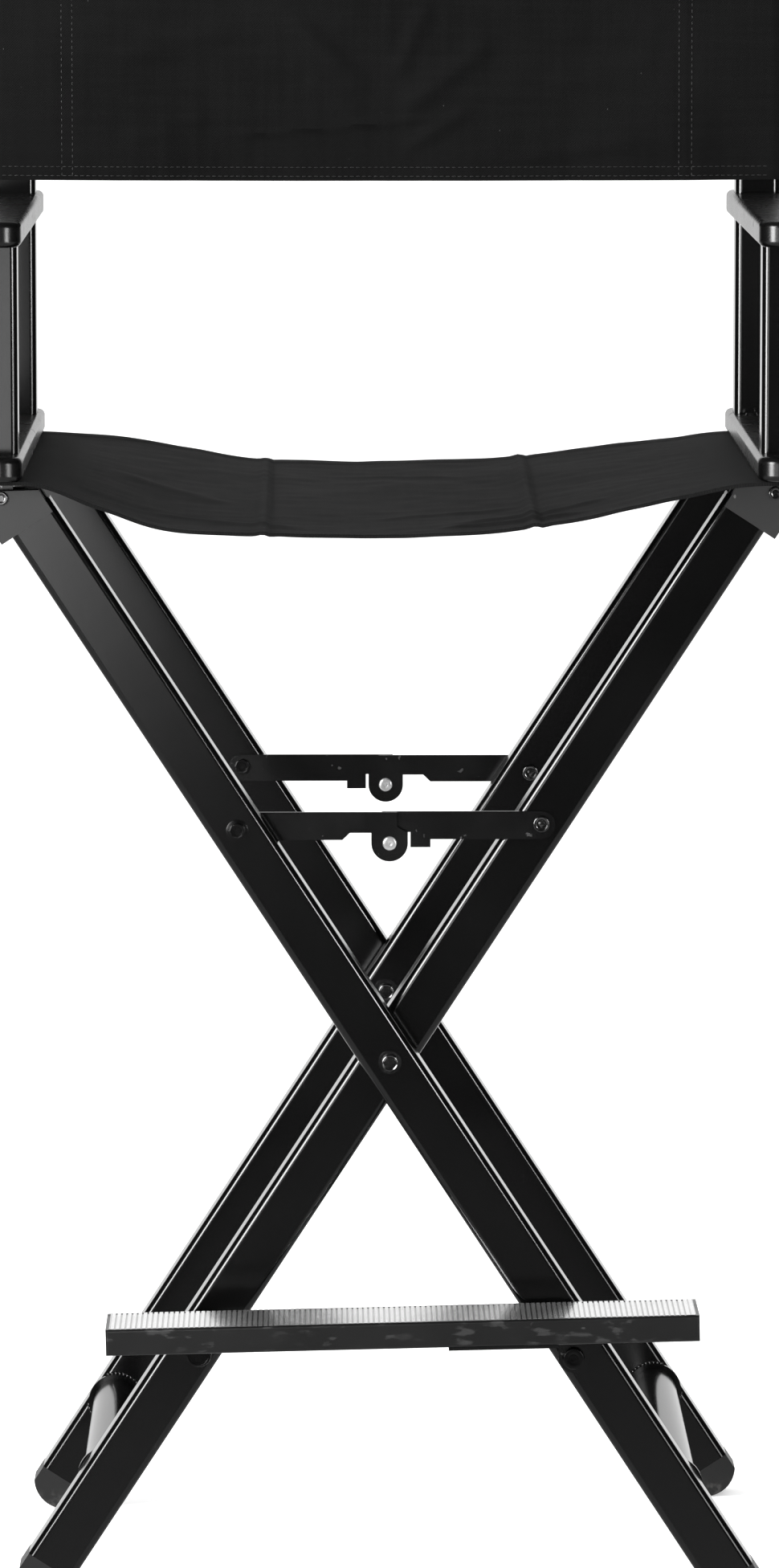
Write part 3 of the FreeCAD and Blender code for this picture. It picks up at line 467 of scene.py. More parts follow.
@dataclass(frozen=True)
class WovenCanvas(Finish):
    """Heavy black canvas: plain weave, random fading, a painted highlight along each fold ridge and a little
    lint.
    """

    name: str
    level: float
    thread: float = 0.9 * MM
    highlight_fold_lines: tuple[float, ...] = ()

    def wire(self, g: Graph) -> None:
        """Lays the weave, its fading and streaks, a painted highlight along each fold ridge and the lint.

        Args:
            g: The material's graph.
        """
        place = g.cloth_place()
        along, across, _ = g.axes(place)
        turn = math.pi / self.thread
        warp = (along * turn).wave()
        weft = (across * turn).wave()
        weave = warp * weft * 0.5 + 0.5
        slub = g.noise(g.stretched(place, (1.0, 0.06, 1.0)), 700.0, 3.0)
        slub = slub + g.noise(g.stretched(place, (0.06, 1.0, 1.0)), 700.0, 3.0)
        fade = g.noise(place, 9.0, 5.0)
        streaks = g.noise(g.stretched(place, (1.0, 0.05, 1.0)), 160.0, 3.0)
        streaks = streaks + g.noise(g.stretched(place, (0.05, 1.0, 1.0)), 160.0, 3.0)
        lint = (0.05 - g.cells(g.stretched(place, (1.0, 0.5, 1.0)), 120.0)).ramp(0.0, 0.03)
        colour = g.blend(fade.ramp(0.35, 0.7), grey(self.level * 0.78), grey(self.level * 1.25))
        colour = g.blend(weave * 0.35, colour, grey(self.level * 0.35))
        colour = g.blend(streaks.ramp(0.8, 1.2) * 0.35, colour, grey(self.level * 1.5))
        # Painted highlight: a lighter line along each fold ridge, where the raised crease catches the light.
        for line in self.highlight_fold_lines:
            fold_highlight = 1 - ((along - line).size() * (1 / MM)).ramp(0.4, 3.2)
            colour = g.blend(fold_highlight * slub.ramp(0.85, 1.15) * 0.3, colour, grey(self.level * 2.2))
        colour = g.blend(lint * fade.ramp(0.5, 0.6) * 0.4, colour, grey(0.12))
        g.surface(
            Base_Color=colour,
            Roughness=0.86,
            Specular_IOR_Level=0.1,
            Sheen_Weight=0.008,
            Sheen_Roughness=0.5,
            Normal=g.bump(weave + slub * 0.35, 0.55, 0.35 * MM),
        )


@dataclass(frozen=True)
class SewingThread(Finish):
    """Twisted polyester thread, a little shinier than the cloth."""

    name: str = "sewing_thread"
    level: float = 0.0028

    def wire(self, g: Graph) -> None:
        """Lays the thread's twist.

        Args:
            g: The material's graph.
        """
        place = g.place()
        twist = g.noise(place, 2600.0, 2.0)
        g.surface(
            Base_Color=g.blend(twist, grey(self.level * 0.6), grey(self.level * 1.5)),
            Roughness=0.5,
            Sheen_Weight=0.1,
            Normal=g.bump(twist, 0.5, 0.1 * MM),
        )


# ---- Modelling by hand -----------------------------------------------------


def deselect() -> None:
    """Leaves nothing selected."""
    bpy.ops.object.select_all(action="DESELECT")


def activate(piece: bpy.types.Object) -> None:
    """Selects one piece alone and makes it the active one.

    Args:
        piece: The piece to work on next.
    """
    deselect()
    piece.select_set(True)
    bpy.context.view_layer.objects.active = piece


def settle(piece: bpy.types.Object) -> None:
    """Applies the piece's place, turn and size to its mesh."""
    activate(piece)
    bpy.ops.object.transform_apply(location=True, rotation=True, scale=True)


class Element(Enum):
    """What is picked in edit mode."""

    FACES = "FACE"
    EDGES = "EDGE"


def pick(piece: bpy.types.Object, kind: Element, chosen: Callable[[object], bool]) -> None:
    """In edit mode, selects the elements that a test accepts and no others.

    Args:
        piece: The piece being edited.
        kind: Faces or edges.
        chosen: The test of one face or edge.
    """
    bpy.ops.mesh.select_mode(type=kind.value)
    bpy.ops.mesh.select_all(action="DESELECT")
    mesh = bmesh.from_edit_mesh(piece.data)
    for element in mesh.faces if kind is Element.FACES else mesh.edges:
        element.select_set(chosen(element))
    bmesh.update_edit_mesh(piece.data)


def apply_modifier(piece: bpy.types.Object, kind: str, **settings: object) -> None:
    """Adds one modifier to a piece and applies it.

    Args:
        piece: The piece to change.
        kind: The modifier's type.
        settings: Its properties.
    """
    activate(piece)
    modifier = piece.modifiers.new(kind.title(), kind)
    for name, value in settings.items():
        setattr(modifier, name, value)
    bpy.ops.object.modifier_apply(modifier=modifier.name)


def join(pieces: list[bpy.types.Object], name: str) -> bpy.types.Object:
    """Joins several pieces into one.

    Args:
        pieces: The pieces, all with their places applied.
        name: The name of the result.

    Returns:
        The joined piece.
    """
    deselect()
    for piece in pieces:
        piece.select_set(True)
    bpy.context.view_layer.objects.active = pieces[0]
    if len(pieces) > 1:
        bpy.ops.object.join()
    result = bpy.context.view_layer.objects.active
    result.name = name
    return result


def smooth(piece: bpy.types.Object, angle: float = 35.0) -> None:
    """Shades a piece smoothly across edges flatter than the angle, in degrees."""
    activate(piece)
    bpy.ops.object.shade_smooth_by_angle(angle=math.radians(angle))


def dress(piece: bpy.types.Object, material: bpy.types.Material) -> None:
    """Gives the piece one material and no other."""
    piece.data.materials.clear()
    piece.data.materials.append(material)


# ---- Fixings ---------------------------------------------------------------


class Drive(Enum):
    """The recess that a tool turns a fixing by, and its number of sides."""

    HEX = 6
    CROSS = 4
    ROUND = 24


class Facing(Enum):
    """The way that a head faces along the chair's depth."""

    FRONT = -1
    BACK = 1


@dataclass
class Head:
    """One screw, bolt or pin head, with a rolled rim and a recess."""

    radius: float
    height: float
    drive: Drive = Drive.HEX
    sides: int = 32
    recess_radius: float = 2.6 * MM
    recess_depth: float = 1.6 * MM
    rim: float = 0.7 * MM
    groove: float = 0.3 * MM
    groove_depth: float = 0.35 * MM
    land: float = 0.9 * MM

    def model(self, at: Vector, facing: Facing = Facing.FRONT) -> bpy.types.Object:
        """Models the head with the middle of its seat at a point.

        Args:
            at: The middle of the seat, in metres.
            facing: Which way the head's top looks.

        Returns:
            The head, with its place applied.
        """
        deselect()
        bpy.ops.mesh.primitive_cylinder_add(
            vertices=self.sides, radius=self.radius, depth=self.height, location=(0, 0, self.height / 2)
        )
        head = bpy.context.active_object
        settle(head)
        bpy.ops.object.mode_set(mode="EDIT")
        pick(head, Element.EDGES, lambda e: all(v.co.z > self.height * 0.9 for v in e.verts))
        bpy.ops.mesh.bevel(offset=self.rim, segments=3, profile=0.5, affect="EDGES")
        pick(head, Element.FACES, lambda f: f.normal.z > 0.99)
        bpy.ops.mesh.inset(thickness=max(self.radius - self.rim - self.recess_radius - self.land, 0.2 * MM))
        bpy.ops.transform.translate(value=(0, 0, -self.groove_depth))
        bpy.ops.mesh.inset(thickness=self.groove)
        bpy.ops.transform.translate(value=(0, 0, self.groove_depth))
        bpy.ops.object.mode_set(mode="OBJECT")
        if self.recess_radius:
            self.cut_recess(head)
        smooth(head)
        head.rotation_euler = (math.radians(90 * -facing.value), 0, 0)
        head.location = at
        settle(head)
        return head

    def cut_recess(self, head: bpy.types.Object) -> None:
        """Sinks the drive's recess into the top of the head.

        Args:
            head: The head, standing upright on the origin.
        """
        bars = [(self.recess_radius, self.recess_radius)]
        if self.drive is Drive.CROSS:
            slim = self.recess_radius * 0.34
            bars = [(self.recess_radius, slim), (slim, self.recess_radius)]
        for wide, deep in bars:
            deselect()
            if self.drive is Drive.CROSS:
                bpy.ops.mesh.primitive_cube_add(size=2, location=(0, 0, self.height))
            else:
                bpy.ops.mesh.primitive_cylinder_add(
                    vertices=self.drive.value, radius=1, depth=2, location=(0, 0, self.height)
                )
            tool = bpy.context.active_object
            tool.scale = (wide, deep, self.recess_depth)
            settle(tool)
            apply_modifier(head, "BOOLEAN", operation="DIFFERENCE", object=tool, solver="EXACT")
            bpy.data.objects.remove(tool)


@dataclass
class Bolt:
    """A head, the collar under it and the shank behind it, for one solid of the frame."""

    head: Head
    shank: float
    collar: float = 0.0
    collar_thick: float = 1.2 * MM

    def model(self, low: Vector, high: Vector, facing: Facing = Facing.FRONT) -> bpy.types.Object:
        """Models the bolt in the box of the plain one.

        Args:
            low: The box's low corner, in metres.
            high: Its high corner.
            facing: The side that the head is on.

        Returns:
            The bolt, with its place applied.
        """
        middle = (low + high) / 2
        top = low.y if facing is Facing.FRONT else high.y
        seat = top - facing.value * self.head.height
        pieces = [self.head.model(Vector((middle.x, seat, middle.z)), facing)]
        if self.collar:
            pieces.append(self.disc(middle, seat, seat - facing.value * self.collar_thick, self.collar))
        end = high.y if facing is Facing.FRONT else low.y
        pieces.append(self.disc(middle, seat, end, self.shank))
        return join(pieces, "bolt")

    def disc(self, middle: Vector, start: float, end: float, radius: float) -> bpy.types.Object:
        """Models a round length of the bolt, with softened edges.

        Args:
            middle: A point on the bolt's axis.
            start: Depth of one end.
            end: Depth of the other.
            radius: Its radius.

        Returns:
            The length, with its place applied.
        """
        deselect()
        bpy.ops.mesh.primitive_cylinder_add(
            vertices=32,
            radius=radius,
            depth=abs(end - start),
            location=(middle.x, (start + end) / 2, middle.z),
            rotation=(math.radians(90), 0, 0),
        )
        disc = bpy.context.active_object
        settle(disc)
        apply_modifier(disc, "BEVEL", width=0.3 * MM, segments=2, limit_method="ANGLE")
        smooth(disc)
        return disc


@dataclass
class Fixings:
    """The chair's screws, bolts, pins and rivets, each in the place of its plain solid."""

    dark: bpy.types.Material
    black: bpy.types.Material
    bright: bpy.types.Material

    @staticmethod
    def solids(node: str) -> list[tuple[Vector, Vector]]:
        """Boxes of the separate solids of a node, front to back.

        Args:
            node: The node's name.

        Returns:
            The low and high corners of each solid, in metres.
        """
        mesh = bmesh.new()
        mesh.from_mesh(frame["nodes"][node].data)
        bmesh.ops.remove_doubles(mesh, verts=mesh.verts, dist=0.001 * MM)
        waiting = set(mesh.verts)
        boxes = []
        while waiting:
            queue = [waiting.pop()]
            points = []
            while queue:
                vertex = queue.pop()
                points.append(vertex.co.copy())
                for edge in vertex.link_edges:
                    other = edge.other_vert(vertex)
                    if other in waiting:
                        waiting.remove(other)
                        queue.append(other)
            low = Vector(min(p[k] for p in points) for k in range(3))
            high = Vector(max(p[k] for p in points) for k in range(3))
            boxes.append((low, high))
        mesh.free()
        return sorted(boxes, key=lambda box: box[0].y)

    def renew(
        self, node: str, body: str, bolt: Bolt, finish: bpy.types.Material, facing: Facing = Facing.FRONT
    ) -> None:
        """Models one node's fixings afresh.

        Args:
            node: The plain node.
            body: The body that it moves with.
            bolt: The kind of fixing.
            finish: Its material.
            facing: The side that its heads are on.
        """
        pieces = [bolt.model(low, high, facing) for low, high in self.solids(node)]
        piece = join(pieces, f"{node}_detailed")
        dress(piece, finish)
        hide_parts(node)
        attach(piece, body)
        log.info("%s: %d modelled afresh", node, len(pieces))

    def make(self) -> None:
        """Models every fixing with its head, recess and collar."""
        pivot = Bolt(Head(5.6 * MM, 3.4 * MM, Drive.CROSS, recess_radius=3.3 * MM), 4.0 * MM)
        self.renew("pivot_bolts", "outer_legs", pivot, self.dark)
        leg_bolt = Bolt(
            Head(5.9 * MM, 3.4 * MM, Drive.ROUND, sides=8, recess_radius=2.7 * MM), 3.0 * MM, collar=7.4 * MM
        )
        slim_bolt = Bolt(Head(5.5 * MM, 1.6 * MM, Drive.HEX, recess_radius=2.6 * MM), 3.0 * MM)
        self.renew("outer_brace_bolts", "outer_legs", leg_bolt, self.black)
        self.renew("inner_brace_bolts", "inner_legs", slim_bolt, self.dark)
        pin_head = Head(4.6 * MM, 2.0 * MM, Drive.ROUND, recess_radius=1.4 * MM, recess_depth=0.8 * MM)
        pin = Bolt(pin_head, 3.0 * MM)
        self.renew("outer_knuckle_pins", "outer_legs", pin, self.dark)
        self.renew("inner_knuckle_pins", "inner_legs", pin, self.dark)
        hinge = Bolt(Head(7.3 * MM, 2.6 * MM, Drive.HEX, recess_radius=2.2 * MM, rim=1.1 * MM), 3.5 * MM)
        self.renew("footrest_hinge_bolt", "outer_legs", hinge, self.black)
        peg_head = Head(8.3 * MM, 2.4 * MM, Drive.ROUND, recess_radius=5.6 * MM, recess_depth=0.7 * MM)
        peg = Bolt(peg_head, 5.0 * MM)
        self.renew("footrest_peg", "inner_legs", peg, self.black)
        dome = Bolt(Head(4.8 * MM, 1.4 * MM, recess_radius=0.0, rim=1.2 * MM), 3.0 * MM)
        for row, fore, aft in (("front", "left", "right"), ("rear", "right", "left")):
            self.renew(f"{row}_{fore}_rivet", f"{row}_{fore}_brace", dome, self.bright)
            self.renew(f"{row}_{aft}_rivet", f"{row}_{aft}_brace", dome, self.bright, Facing.BACK)


@dataclass
class Welds:
    """Beads of weld round the collars where the cross tubes meet the legs."""

    finish: bpy.types.Material
    beads: int = 44
    bead_radius: float = 1.25 * MM
    sunk: float = 0.3 * MM
    leg_half: float = 16.0 * MM
    lean: float = math.radians(33.1)

    def ring(self, low: Vector, high: Vector, leg_side: float, sign: int) -> list[bpy.types.Object]:
        """Lays beads round one collar, only where the leg's face is behind them.

        Args:
            low: The collar's low corner, in metres.
            high: Its high corner.
            leg_side: Depth of the collar's face on the leg.
            sign: 1 where the leg runs down to the right, -1 to the left.

        Returns:
            The beads.
        """
        middle = (low + high) / 2
        radius = (high.x - low.x) / 2 + 0.2 * MM
        beads = []
        for k in range(self.beads):
            turn = 2 * math.pi * k / self.beads
            x, z = radius * math.cos(turn), radius * math.sin(turn)
            if abs(x * sign * math.cos(self.lean) + z * math.sin(self.lean)) > self.leg_half:
                continue
            bpy.ops.mesh.primitive_uv_sphere_add(
                segments=8,
                ring_count=6,
                radius=self.bead_radius,
                location=(middle.x + x, leg_side, middle.z + z),
            )
            bead = bpy.context.active_object
            bead.scale = (1.15, 0.8, 1.15)
            settle(bead)
            beads.append(bead)
        return beads

    def make(self) -> None:
        """Welds both cross tubes to their legs."""
        for frame_name, sign in (("outer", 1), ("inner", -1)):
            beads = []
            for low, high in Fixings.solids(f"{frame_name}_tube_flanges"):
                leg_side = high.y - self.sunk if low.y > 0 else low.y + self.sunk
                beads += self.ring(low, high, leg_side, sign)
            piece = join(beads, f"{frame_name}_weld_beads")
            dress(piece, self.finish)
            smooth(piece, 80)
            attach(piece, f"{frame_name}_legs")
            log.info("%s: %d beads", piece.name, len(beads))


# ---- Dressing the frame ----------------------------------------------------


@dataclass
class Frame:
    """The hard parts of the chair, which keep their own shapes, and finishes by node or by slot."""

    finishes: dict[str, bpy.types.Material]

    def make(self) -> None:
        """Gives every part its own finish, or else its slot's."""
        for part in frame["record"]["subparts"]:
            node = frame["nodes"][part["node"]]
            finish = self.finishes.get(part["node"]) or self.finishes.get(part["material_slot"])
            if finish is not None:
                dress(node, finish)
                log.info("%s dressed as %s", part["node"], finish.name)


# ---- Cloth -----------------------------------------------------------------


def eased(value: float) -> float:
    """Smooth step from 0 to 1 of a value cut to that range."""
    value = min(1.0, max(0.0, value))
    return value * value * (3 - 2 * value)


def ridge(distance: float, width: float) -> float:
    """A soft crease: 1 on its line, falling to 0 over a few widths."""
    return math.exp(-((distance / width) ** 2))


def profile(stations: tuple[tuple[float, float], ...], across: float) -> float:
    """Height of a sling at a point across it, eased between its stations.

    Args:
        stations: Places across and heights, left to right, in metres.
        across: The place to read.

    Returns:
        The height there.
    """
    if across <= stations[0][0]:
        return stations[0][1]
    if across >= stations[-1][0]:
        return stations[-1][1]
    k = max(i for i, s in enumerate(stations) if s[0] <= across)
    k = min(k, len(stations) - 2)
    (x0, z0), (x1, z1) = stations[k], stations[k + 1]
    slopes = []
    for i in (k, k + 1):
        before, after = stations[max(0, i - 1)], stations[min(len(stations) - 1, i + 1)]
        slopes.append((after[1] - before[1]) / (after[0] - before[0]))
    t = (across - x0) / (x1 - x0)
    h = x1 - x0
    return (
        z0 * (1 + 2 * t) * (1 - t) ** 2
        + slopes[0] * h * t * (1 - t) ** 2
        + z1 * t * t * (3 - 2 * t)
        + slopes[1] * h * t * t * (t - 1)
    )


@dataclass
class Crease:
    """A line pressed or pulled into cloth."""

    start: tuple[float, float]
    end: tuple[float, float]
    height: float
    width: float

    def lift(self, u: float, v: float) -> float:
        """How far the crease lifts the cloth at a point.

        Args:
            u: Place along the cloth, in metres.
            v: Place across it.

        Returns:
            The lift, in metres.
        """
        du, dv = self.end[0] - self.start[0], self.end[1] - self.start[1]
        length = math.hypot(du, dv)
        t = ((u - self.start[0]) * du + (v - self.start[1]) * dv) / (length * length)
        off = ((u - self.start[0]) * dv - (v - self.start[1]) * du) / length
        fade = eased(min(t, 1 - t) * 4 + 0.15) if -0.05 < t < 1.05 else 0.0
        return self.height * fade * ridge(off, self.width)


def creases(*lines: tuple[float, float, float, float, float, float]) -> tuple[Crease, ...]:
    """Creases from their start, end, height and width, all in millimetres.

    Args:
        lines: For each, along and across at its start and its end, then its height and width.

    Returns:
        The creases.
    """
    return tuple(
        Crease((u0 * MM, v0 * MM), (u1 * MM, v1 * MM), height * MM, width * MM)
        for u0, v0, u1, v1, height, width in lines
    )


SEAT_STORAGE_FOLDS = creases(
    (-84, -250, -84, 250, 2.2, 4),
    (-79, -250, -80, 250, -1.2, 3),
    (95, -250, 95, 250, 2.4, 4),
    (101, -250, 100, 250, -1.4, 3),
)
SEAT_SLACK = creases(
    (30, -185, 135, -165, 2.2, 6),
    (45, -160, 150, -120, 1.8, 6),
    (-10, -120, 90, -80, 1.2, 7),
    (-160, -140, -60, -175, 1.4, 7),
    (-190, 20, -100, -60, 1.2, 9),
    (-40, 120, 60, 90, 1.2, 8),
)
BACK_STORAGE_FOLDS = creases(
    (-111, 976.5, 40, 988, 2.2, 1.7),
    (-9.1, 900, -9.1, 1160, -0.7, 1.4),
    (1, 900, 1, 1160, 0.7, 1.4),
)
BACK_PULLS = creases(
    (-70, 1060, -12, 1004, 3.0, 8),
    (-55, 1020, -14, 990, 2.0, 6),
    (78, 1045, 10, 992, 3.0, 8),
    (60, 995, 12, 966, 1.8, 5),
    (30, 1070, 6, 1015, 2.0, 6),
)
BACK_SLACK = creases(
    (-40, 1100, 45, 1088, 2.2, 9),
    (-190, 1030, -100, 1052, 1.6, 10),
    (110, 1010, 195, 1030, 1.8, 10),
    (150, 1075, 200, 1050, 1.6, 7),
    (-180, 975, -120, 990, 1.4, 7),
    (90, 962, 180, 972, 1.4, 6),
)


@dataclass
class Cloth:
    """A woven sheet made from a flat grid, and the thread sewn into it."""

    name: str
    finish: bpy.types.Material
    thread: bpy.types.Material
    thick: float = 1.5 * MM
    step: float = 3.0 * MM
    single: float = 0.6
    stitch: Vector = field(default_factory=lambda: Vector((1.5 * MM, 0.34 * MM, 0.34 * MM)))
    stitch_pitch: float = 4.2 * MM

    def sheet(self, width: float, length: float, shape: Callable[[float, float], Vector]) -> bpy.types.Object:
        """Lays a flat cut of cloth into its shape.

        Args:
            width: The cut's width, in metres.
            length: The cut's length.
            shape: Gives the place of each point of the cut.

        Returns:
            The open sheet, with a UV map named cloth in metres.
        """
        deselect()
        bpy.ops.mesh.primitive_grid_add(
            x_subdivisions=round(width / self.step), y_subdivisions=round(length / self.step), size=1
        )
        sheet = bpy.context.active_object
        sheet.name = self.name
        sheet.scale = (width, length, 1)
        settle(sheet)
        layer = sheet.data.uv_layers.active or sheet.data.uv_layers.new()
        layer.name = "cloth"
        for loop in sheet.data.loops:
            layer.data[loop.index].uv = sheet.data.vertices[loop.vertex_index].co.xy
        for vertex in sheet.data.vertices:
            vertex.co = shape(vertex.co.x, vertex.co.y)
        return sheet

    def thicken(self, sheet: bpy.types.Object, hem: Callable[[float, float], bool]) -> None:
        """Gives the sheet its thickness, doubled at the hems.

        Args:
            sheet: The open sheet.
            hem: Says whether a point of the flat cut lies in a hem.
        """
        group = sheet.vertex_groups.new(name="hem")
        layer = sheet.data.uv_layers["cloth"]
        weights = {}
        for loop in sheet.data.loops:
            u, v = layer.data[loop.index].uv
            weights[loop.vertex_index] = 1.0 if hem(u, v) else self.single
        for index, weight in weights.items():
            group.add([index], weight, "REPLACE")
        settings = {"thickness": self.thick / self.single, "vertex_group": "hem", "use_even_offset": True}
        apply_modifier(sheet, "SOLIDIFY", offset=0, **settings)
        dress(sheet, self.finish)
        smooth(sheet, 50)

    def stitches(
        self, name: str, rows: Iterable[tuple], shape: Callable[[float, float], Vector]
    ) -> bpy.types.Object:
        """Sews rows of stitches that lie on the cloth.

        Args:
            name: The name of the joined piece.
            rows: Rows as (start u, start v, end u, end v), in metres on the flat cut.
            shape: The cloth's own shape, raised to its outer face.

        Returns:
            The stitches as one mesh.
        """
        deselect()
        bpy.ops.mesh.primitive_uv_sphere_add(segments=8, ring_count=6, radius=1)
        bead = bpy.context.active_object
        bead.scale = self.stitch
        settle(bead)
        corners = [v.co.copy() for v in bead.data.vertices]
        polygons = [tuple(p.vertices) for p in bead.data.polygons]
        bpy.data.objects.remove(bead)
        points, faces = [], []
        for u0, v0, u1, v1 in rows:
            length = math.hypot(u1 - u0, v1 - v0)
            du, dv = (u1 - u0) / length * MM, (v1 - v0) / length * MM
            for k in range(int(length / self.stitch_pitch)):
                t = (k + 0.5) * self.stitch_pitch / length
                u, v = u0 + (u1 - u0) * t, v0 + (v1 - v0) * t
                at = shape(u, v)
                ahead = shape(u + du, v + dv) - at
                aside = shape(u - dv, v + du) - at
                ahead.normalize()
                up = ahead.cross(aside).normalized()
                aside = up.cross(ahead)
                first = len(points)
                points += [at + ahead * c.x + aside * c.y + up * c.z for c in corners]
                faces += [tuple(first + i for i in face) for face in polygons]
        mesh = bpy.data.meshes.new(name)
        mesh.from_pydata([tuple(p) for p in points], [], faces)
        piece = bpy.data.objects.new(name, mesh)
        bpy.context.scene.collection.objects.link(piece)
        dress(piece, self.thread)
        smooth(piece, 80)
        return piece


@dataclass
class Fold:
    """Carries a cloth with the chair's left side as the chair folds."""

    anchor_x: float
    keep: float = 0.21

    def attach(self, piece: bpy.types.Object) -> None:
        """Mounts a cloth piece on the left side, with its own copy of its mesh.

        Args:
            piece: The finished cloth or its stitches.
        """
        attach(piece, "left_side")
        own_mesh(piece)


@dataclass
class SeatSling:
    """The seat: a canvas sling between the undersides of the two rails."""

    cloth: Cloth
    fold: Fold
    creases: tuple[Crease, ...] = ()
    hem: float = 17 * MM
    side_hem: float = 30 * MM
    held: float = 46 * MM
    eases_over: float = 38 * MM
    under_rail: float = 1.1 * MM
    seam_beyond: float = 2.2 * MM
    edge_inset: float = 0.4 * MM
    lug_room: float = 1.6 * MM
    front_sag: tuple[tuple[float, float], ...] = (
        (-232, 1), (-196, 14), (-148, 29.5), (-72, 33.5), (18, 34.5),
        (70, 32), (114, 25.5), (166, 14.5), (204, 6.5), (234, 1),
    )
    back_sag: tuple[tuple[float, float], ...] = (
        (-236, 0.5), (-188, 4.5), (-137, 12.5), (-91, 19), (0, 22),
        (69, 19.2), (126, 13.5), (184, 7.5), (236, 0.8),
    )

    def stations(self, sag: tuple[tuple[float, float], ...]) -> tuple[tuple[float, float], ...]:
        """Heights of the sling along one of its edges, from rail to rail.

        Args:
            sag: Places across and depths below the hems, in millimetres.

        Returns:
            Places across and heights, in metres.
        """
        between = ((across * MM, self.top - depth * MM) for across, depth in sag)
        return ((-self.outer, self.top), *between, (self.outer, self.top))

    def measure(self) -> None:
        """Reads the sling's place from the plain solid that it stands for."""
        low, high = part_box("seat_canvas")
        self.outer = high.x - self.edge_inset
        self.half = (high.y - low.y) / 2 - self.edge_inset
        self.top = high.z - self.under_rail
        self.front = self.stations(self.front_sag)
        self.back = self.stations(self.back_sag)

    def shape(self, u: float, v: float) -> Vector:
        """Lays one point of the flat cut in its place.

        Args:
            u: Its place across the seat, from the middle.
            v: Its place along the seat, from front to back.

        Returns:
            Its place on the hung sling.
        """
        share = (v + self.half) / (2 * self.half)
        front = profile(self.front, u)
        back = profile(self.back, u)
        z = front + (back - front) * eased(share * 0.92 + 0.04)
        free = eased((self.outer - self.held - abs(u)) / self.eases_over)
        z += free * sum(c.lift(u, v) for c in self.creases)
        z += free * 2.4 * MM * noise.noise(Vector((u * 14, v * 9, 3.1)))
        z += free * 0.5 * MM * noise.noise(Vector((u * 45, v * 60, 7.7)))
        return Vector((u, v, z))

    def make(self) -> None:
        """Makes the sling, its notches for the lugs and its hems' stitches."""
        self.measure()
        sheet = self.cloth.sheet(2 * self.outer, 2 * self.half, self.shape)
        self.notch(sheet)
        inner = self.half - self.hem
        self.cloth.thicken(sheet, lambda u, v: abs(v) > inner or abs(u) > self.outer - self.side_hem)
        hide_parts("seat_canvas")
        lift = self.cloth.thick * 0.5 + 0.15 * MM

        def upper(u: float, v: float) -> Vector:
            """The sling's upper face, where the stitches lie."""
            return self.shape(u, v) + Vector((0, 0, lift))

        reach = self.outer - self.held
        seam = inner + self.seam_beyond
        rows = [(-reach, side * seam, reach, side * seam) for side in (-1, 1)]
        thread = self.cloth.stitches("seat_stitches", rows, upper)
        for piece in (sheet, thread):
            self.fold.attach(piece)
        2 * self.outer + 12 * MM
        2 * self.half
        log.info("seat sling %.0f by %.0f mm", 2 * self.outer / MM, 2 * self.half / MM)

    def notch(self, sheet: bpy.types.Object) -> None:
        """Cuts the hems away around the four lugs.

        Args:
            sheet: The open sheet.
        """
        boxes = [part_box(f"{side}_{end}_lug") for side in ("left", "right") for end in ("front", "rear")]
        room = self.lug_room

        def in_lug(face: bmesh.types.BMFace) -> bool:
            """Tells whether a face lies where a lug goes through.

            Args:
                face: A face of the sheet.

            Returns:
                Whether its middle is within a lug's outline and its room.
            """
            at = face.calc_center_median()
            return any(
                low.x - room < at.x < high.x + room and low.y - room < at.y < high.y + room
                for low, high in boxes
            )

        activate(sheet)
        bpy.ops.object.mode_set(mode="EDIT")
        pick(sheet, Element.FACES, in_lug)
        bpy.ops.mesh.delete(type="FACE")
        bpy.ops.object.mode_set(mode="OBJECT")


